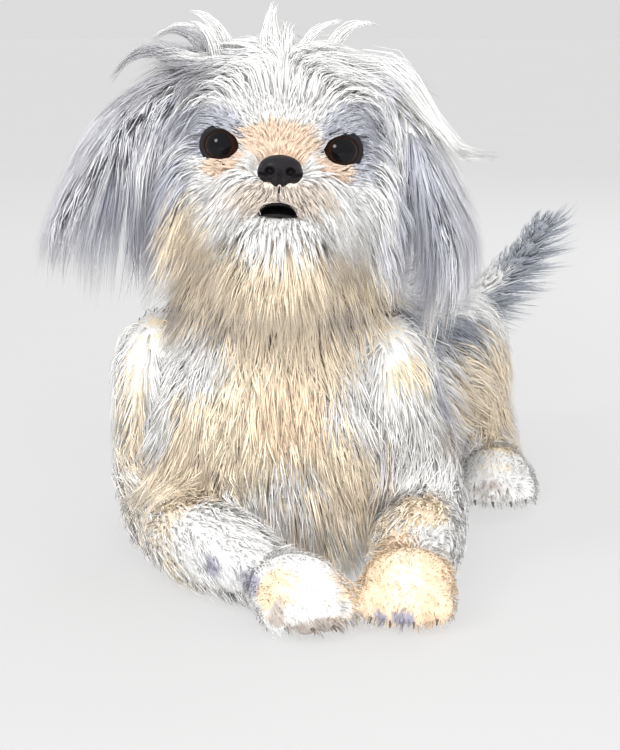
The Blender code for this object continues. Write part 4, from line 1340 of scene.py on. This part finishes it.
def lid(side, radius):
    """One ring of upper and lower lid that follows the ball."""
    deselect()
    bpy.ops.mesh.primitive_torus_add(
        major_segments=96, minor_segments=20, major_radius=1.0, minor_radius=0.25
    )
    ring = bpy.context.object

    def shape(points):
        x, y, z = points.T
        turn = np.arctan2(y, x)
        round_ = np.arctan2(z, 1.0 - np.hypot(x, y))
        upper = ramp(np.sin(turn), -0.2, 0.8)
        opening = almond(turn)
        angle = opening + math.radians(20.0) * (1 - np.cos(round_)) / 2
        thick = np.where(np.sin(round_) > 0, 0.0011 + 0.0006 * upper, 0.0016)
        reach = radius + 0.0002 + thick * np.sin(round_)
        flat = reach * np.sin(angle)
        return np.stack((side * flat * np.cos(turn), -reach * np.cos(angle), flat * np.sin(turn)), axis=1)

    reshaped(ring, shape)
    ring.data.transform(eye_frame(side))
    return ring


class DOG_OT_lids(bpy.types.Operator):
    """Model the lids round both eyes, almond shaped with the inner corner towards the nose"""

    bl_idname = "dog.lids"
    bl_label = "Lids"

    def execute(self, context):
        radius = context.scene.dog_sizes.eye_radius
        lids = joined("lids", [lid(side, radius) for side in (1, -1)])
        outwards(lids)
        completed(lids, leather_finish())
        return {"FINISHED"}


def outwards(obj):
    """Turns all faces of a closed mesh to point out."""
    activate(obj)
    bpy.ops.object.mode_set(mode="EDIT")
    bpy.ops.mesh.select_all(action="SELECT")
    bpy.ops.mesh.normals_make_consistent(inside=False)
    bpy.ops.object.mode_set(mode="OBJECT")


class DOG_OT_nose(bpy.types.Operator):
    """Model the nose leather with its wings, nostrils and groove"""

    bl_idname = "dog.nose"
    bl_label = "Nose"

    def execute(self, context):
        half = context.scene.dog_sizes.nose_width / 2
        x, y, z = NOSE_PLACE
        lumps = [
            ((x, y, z + 0.0016), (half * 0.93, 0.0070, 0.0060)),
            ((x, y + 0.001, z - 0.0040), (0.0058, 0.0060, 0.0046)),
            *(((side * 0.0062, y, z - 0.0008), (0.0043, 0.0066, 0.0052)) for side in (-1, 1)),
        ]
        places = [in_head(centre, radii) for centre, radii in lumps]
        nose = joined("nose_leather", [ball(matrix) for matrix in places])
        applied(nose, "REMESH", mode="VOXEL", voxel_size=NOSE_CELL)
        applied(nose, "SMOOTH", factor=0.5, iterations=8)
        reshaped(nose, self.carve)
        completed(nose, leather_finish(), ["nose"])
        return {"FINISHED"}

    def carve(self, points):
        """Presses the comma of each nostril and the groove between them into the front of the leather."""
        q = to_head(points)
        x, y, z = q.T
        front = ramp(-y, 0.0545, 0.0575)
        out = np.abs(x)
        rise, past = z - NOSTRIL_PLACE[2], out - 0.0077
        bore = np.hypot((out - NOSTRIL_PLACE[0]) / 0.0024, rise / 0.0020)
        slit = np.hypot(past / 0.0032, (rise + 0.0016 - 0.25 * past) / 0.0009)
        hole = np.maximum(1 - ramp(bore, 0.45, 1.1), 0.75 * (1 - ramp(slit, 0.4, 1.1)))
        groove = (1 - ramp(out, 0.0003, 0.0013)) * ramp(-z, 0.0095, 0.0125)
        q[:, 1] += front * (0.0046 * hole + 0.0012 * groove)
        return from_head(q)


class DOG_OT_mouth(bpy.types.Operator):
    """Model the dark lips round the slightly open mouth and the groove under the nose"""

    bl_idname = "dog.mouth"
    bl_label = "Mouth"

    def execute(self, context):
        deselect()
        bpy.ops.mesh.primitive_torus_add(
            major_segments=80, minor_segments=14, major_radius=1.0, minor_radius=0.2
        )
        lips = joined("lips", [reshaped(bpy.context.object, self.shape), self.groove()])
        outwards(lips)
        completed(lips, leather_finish())
        return {"FINISHED"}

    def shape(self, points):
        """A flat oval that bends round the front of the muzzle, its lower edge straight."""
        x, y, z = points.T
        turn, reach = np.arctan2(y, x), np.hypot(x, y) - 1.0
        wide, high = MOUTH_RADII[0] * (0.90 - 0.14 * np.sin(turn)), 0.0030
        lower = -0.75 * high * ramp(-np.sin(turn), 0.0, 0.5)
        rise = np.where(np.sin(turn) < 0, lower, np.sin(turn) * high)
        px = np.cos(turn) * (wide + reach * 0.004)
        py = -0.0575 + 0.0105 * (px / wide) ** 2 * 0.75 - z * 0.004
        pz = MOUTH_PLACE[2] + rise + np.sin(turn) * reach * 0.0035
        return from_head(np.stack((px, py, pz), axis=1))

    def groove(self):
        """The dark line from the nose to the upper lip."""
        low, high = Vector((0, -0.0570, -0.0262)), Vector((0, -0.0580, -0.0180))
        return ball(in_head((low + high) / 2, (0.0006, 0.0008, (high - low).length / 2)), 16, 12)


class DOG_OT_claws(bpy.types.Operator):
    """Model one bent claw and set a copy on every toe"""

    bl_idname = "dog.claws"
    bl_label = "Claws"

    def execute(self, context):
        deselect()
        bpy.ops.mesh.primitive_cone_add(vertices=16, radius1=0.0014, radius2=0.0003, depth=0.007)
        claw = bpy.context.object
        bpy.ops.object.mode_set(mode="EDIT")
        bpy.ops.mesh.select_all(action="SELECT")
        bpy.ops.mesh.subdivide(number_cuts=5)
        bpy.ops.object.mode_set(mode="OBJECT")
        reshaped(claw, lambda p: p + vectors(0.0, -30.0 * (p[:, 2] + 0.004) ** 2, 0.0))
        width = context.scene.dog_sizes.paw_width
        toes = [(paw, point) for paw in PAWS.values() for point in toe_places(paw, width)]
        copies = [self.copy(claw, paw, point) for paw, point in toes]
        bpy.data.objects.remove(claw)
        claws = joined("claws", copies)
        outwards(claws)
        completed(claws, claw_finish())
        return {"FINISHED"}

    def copy(self, claw, paw, point):
        """A copy of the claw at the front of one toe."""
        copy = claw.copy()
        copy.data = claw.data.copy()
        bpy.context.scene.collection.objects.link(copy)
        ahead = Matrix.Rotation(math.radians(paw.turn), 4, "Z")
        reach = Matrix.Translation((0, -TOE_RADII[1] * paw.size * 0.80, -0.0044 * paw.size))
        laid = Matrix.Rotation(math.radians(100), 4, "X")
        copy.data.transform(Matrix.Translation(point) @ ahead @ reach @ laid)
        return copy


class CoatOperator:
    """Grows the pieces of coat that a group of parts carries."""

    pieces = ()

    def execute(self, context):
        for name in self.pieces:
            coat = COATS[name]
            rng = np.random.default_rng([SEED, sorted(COATS).index(name)])
            hair, side, places, reach = grow(coat, rng)
            width = coat.width * np.where(reach < LONG_REACH[0], UNDERCOAT_WIDTH, 1.0)
            dress(name, rng, hair, side, places, width)
        return {"FINISHED"}


def dress(name, rng, hair, side, places, width):
    """Makes the mesh of one piece of coat in the colours of its markings."""
    width = width * rng.uniform(0.65, 1.2, len(hair)) * bpy.context.scene.dog_coat.thickness
    colours = coat_colour(sampled(hair, np.full((len(hair), 1), 0.6))[:, 0])
    colours = colours * rng.normal(1.0, 0.035, (len(hair), 1))
    shown(blades(name, hair, side, width, colours, places), hair_finish())


def nearest_unwrap(points):
    """The places on the unwrap of the skin's triangles that are nearest to points."""
    return hide().unwrap[nearest(hide().centres, points)].mean(axis=1)


class DOG_OT_wisps(bpy.types.Operator):
    """Lay the single locks that stand up from the crown or fall over the ears"""

    bl_idname = "dog.wisps"
    bl_label = "Wisps"

    def execute(self, context):
        rng = np.random.default_rng([SEED, len(COATS)])
        hair = np.concatenate([self.lock(wisp, rng) for wisp in WISPS])
        hair[:, 1:] = settle(hair[:, 1:], 0.0006)[0]
        side = unit(flesh().measure(hair)[1] + vectors(0.0, -0.6, 0.0))
        width = np.full(len(hair), WISP_WIDTH)
        dress("coat_wisps", rng, hair, side, nearest_unwrap(hair[:, 0]), width)
        return {"FINISHED"}

    def lock(self, wisp, rng):
        """Hairs round one curve that run together towards its tip and end at different lengths."""
        reach = 1.0 - 0.34 * rng.random((wisp.count, 1)) ** 2
        t = np.linspace(0.0, 1.0, WISP_STATIONS)[None] * reach
        offset = rng.normal(0, 0.5, (wisp.count, 1, 3)) * wisp.spread
        curl = rng.normal(0, 0.22, (wisp.count, 1, 3)) * wisp.spread
        spread = offset * (1 - 0.85 * t[..., None]) + curl * np.sin(4.0 * t[..., None])
        return from_head((bezier(wisp.points, t) + spread) / 1000)


class DOG_OT_coat_head(CoatOperator, bpy.types.Operator):
    """Grow the coat of the crown, the face and the cheeks"""

    bl_idname = "dog.coat_head"
    bl_label = "Head coat"
    pieces = ("coat_crown", "coat_face", "coat_cheeks")


class DOG_OT_coat_muzzle(CoatOperator, bpy.types.Operator):
    """Grow the moustache, the chin and the beard"""

    bl_idname = "dog.coat_muzzle"
    bl_label = "Moustache and beard"
    pieces = ("coat_muzzle", "coat_beard")


class DOG_OT_coat_ears(CoatOperator, bpy.types.Operator):
    """Grow the long hair of both ears"""

    bl_idname = "dog.coat_ears"
    bl_label = "Ear coat"
    pieces = ("coat_ear_left", "coat_ear_right")


class DOG_OT_coat_trunk(CoatOperator, bpy.types.Operator):
    """Grow the coat of the neck, the chest, the back and the rump"""

    bl_idname = "dog.coat_trunk"
    bl_label = "Trunk coat"
    pieces = ("coat_neck", "coat_chest", "coat_back", "coat_rump")


class DOG_OT_coat_legs(CoatOperator, bpy.types.Operator):
    """Grow the coat of the legs and the paws"""

    bl_idname = "dog.coat_legs"
    bl_label = "Leg coat"
    pieces = tuple(name for name in COATS if "leg" in name or "paw" in name)


class DOG_OT_coat_tail(CoatOperator, bpy.types.Operator):
    """Grow the plume of the tail"""

    bl_idname = "dog.coat_tail"
    bl_label = "Tail coat"
    pieces = ("coat_tail",)


class DOG_OT_stage(bpy.types.Operator):
    """Set the floor, the soft lights and the camera"""

    bl_idname = "dog.stage"
    bl_label = "Studio"

    def execute(self, context):
        scene, studio = context.scene, context.scene.dog_studio
        deselect()
        place = (0, 0, -FLOOR_DROP)
        bpy.ops.mesh.primitive_circle_add(vertices=96, radius=6.0, fill_type="NGON", location=place)
        ground = bpy.context.object
        ground.name = "studio_floor"
        ground.data.transform(ground.matrix_world)
        ground.matrix_world = Matrix.Identity(4)
        ground.data.materials.append(floor_finish())
        for name, azimuth, elevation, distance, size, share in LIGHTS:
            self.light(name, azimuth, elevation, distance, size, share * studio.key_power)
        world = bpy.data.worlds.new("studio")
        world.use_nodes = True
        sky = world.node_tree.nodes["Background"].inputs
        sky["Color"].default_value, sky["Strength"].default_value = (1.0, 1.0, 1.0, 1.0), WORLD_LIGHT
        scene.world = world
        scene.view_settings.view_transform = "Standard"
        self.camera(scene, studio)
        return {"FINISHED"}

    def light(self, name, azimuth, elevation, distance, size, power):
        deselect()
        away = direction(math.radians(azimuth), math.radians(elevation))
        bpy.ops.object.light_add(type="AREA", location=LIT_PLACE + away * distance)
        lamp = bpy.context.object
        lamp.name = lamp.data.name = name
        lamp.rotation_euler = away.to_track_quat("Z", "Y").to_euler()
        lamp.data.shape = "DISK"
        lamp.visible_glossy = name == "key"
        lamp.data.size, lamp.data.energy = size, power

    def camera(self, scene, studio):
        """Stands the camera so that the middle of the head falls where the photograph has it."""
        away = direction(studio.azimuth, studio.elevation)
        bpy.ops.object.camera_add(location=AIM_PLACE + away * studio.distance)
        camera = bpy.context.object
        side = math.atan((FRAME_SIZE[0] / 2 - AIM_PIXEL[0]) / FOCAL_PIXELS)
        down = math.atan((FRAME_SIZE[1] / 2 - AIM_PIXEL[1]) / FOCAL_PIXELS)
        turn = away.to_track_quat("Z", "Y").to_matrix().to_4x4()
        turn = turn @ Matrix.Rotation(-side, 4, "Y") @ Matrix.Rotation(-down, 4, "X")
        camera.rotation_euler = turn.to_euler()
        camera.name = camera.data.name = "studio_camera"
        camera.data.sensor_fit = "VERTICAL"
        camera.data.sensor_height = 36.0
        camera.data.lens = 36.0 * FOCAL_PIXELS / FRAME_SIZE[1]
        scene.camera = camera


# The photograph's frame in pixels, where the middle of the head falls in it, and the lens in its pixels
FRAME_SIZE = (620, 750)
AIM_PIXEL = (279, 160)
AIM_PLACE = Vector((0.012, -0.065, 0.205))
FOCAL_PIXELS = 2737.0
LIT_PLACE = Vector((0.01, 0.0, 0.12))
WORLD_LIGHT = 0.72
FLOOR_GLOW = 0.545
FLOOR_DROP = 0.0006

# Name, azimuth and elevation (degrees), distance, size and share of the key light's power
LIGHTS = (
    ("key", -30.0, 36.0, 1.5, 0.45, 1.0),
    ("front", 8.0, 16.0, 1.8, 1.0, 3.8),
    ("fill", 62.0, 18.0, 1.8, 1.2, 1.3),
    ("rim", 165.0, 30.0, 1.8, 0.8, 1.3),
)


def direction(azimuth, elevation):
    """From the dog towards a place, by its turn from straight ahead to the left and its height."""
    flat = math.cos(elevation)
    return Vector((math.sin(azimuth) * flat, -math.cos(azimuth) * flat, math.sin(elevation)))


STEPS = (
    DOG_OT_skin,
    DOG_OT_eyes,
    DOG_OT_lids,
    DOG_OT_nose,
    DOG_OT_mouth,
    DOG_OT_claws,
    DOG_OT_coat_head,
    DOG_OT_coat_muzzle,
    DOG_OT_coat_ears,
    DOG_OT_coat_trunk,
    DOG_OT_coat_legs,
    DOG_OT_coat_tail,
    DOG_OT_wisps,
    DOG_OT_stage,
)


class DOG_PT_panel(bpy.types.Panel):
    """The sidebar panel with the sizes, the colours and the steps in order"""

    bl_idname = "DOG_PT_panel"
    bl_label = "Shih Tzu"
    bl_space_type = "VIEW_3D"
    bl_region_type = "UI"
    bl_category = "Shih Tzu"

    def draw(self, context):
        for settings in (getattr(context.scene, name) for name in SETTINGS):
            box = self.layout.box()
            for name in settings.__annotations__:
                box.prop(settings, name)
        for step in STEPS:
            self.layout.operator(step.bl_idname)


SETTINGS = {
    "dog_sizes": DogSizes,
    "dog_coat": DogCoat,
    "dog_colours": DogColours,
    "dog_studio": DogStudio,
}
CLASSES = (*SETTINGS.values(), *STEPS, DOG_PT_panel)


def register():
    for cls in CLASSES:
        bpy.utils.register_class(cls)
    for name, cls in SETTINGS.items():
        setattr(bpy.types.Scene, name, PointerProperty(type=cls))


def unregister():
    for name in SETTINGS:
        delattr(bpy.types.Scene, name)
    for cls in reversed(CLASSES):
        bpy.utils.unregister_class(cls)


def main():
    register()
    for step in STEPS:
        getattr(bpy.ops.dog, step.bl_idname.split(".")[1])()


if __name__ == "__main__":
    main()
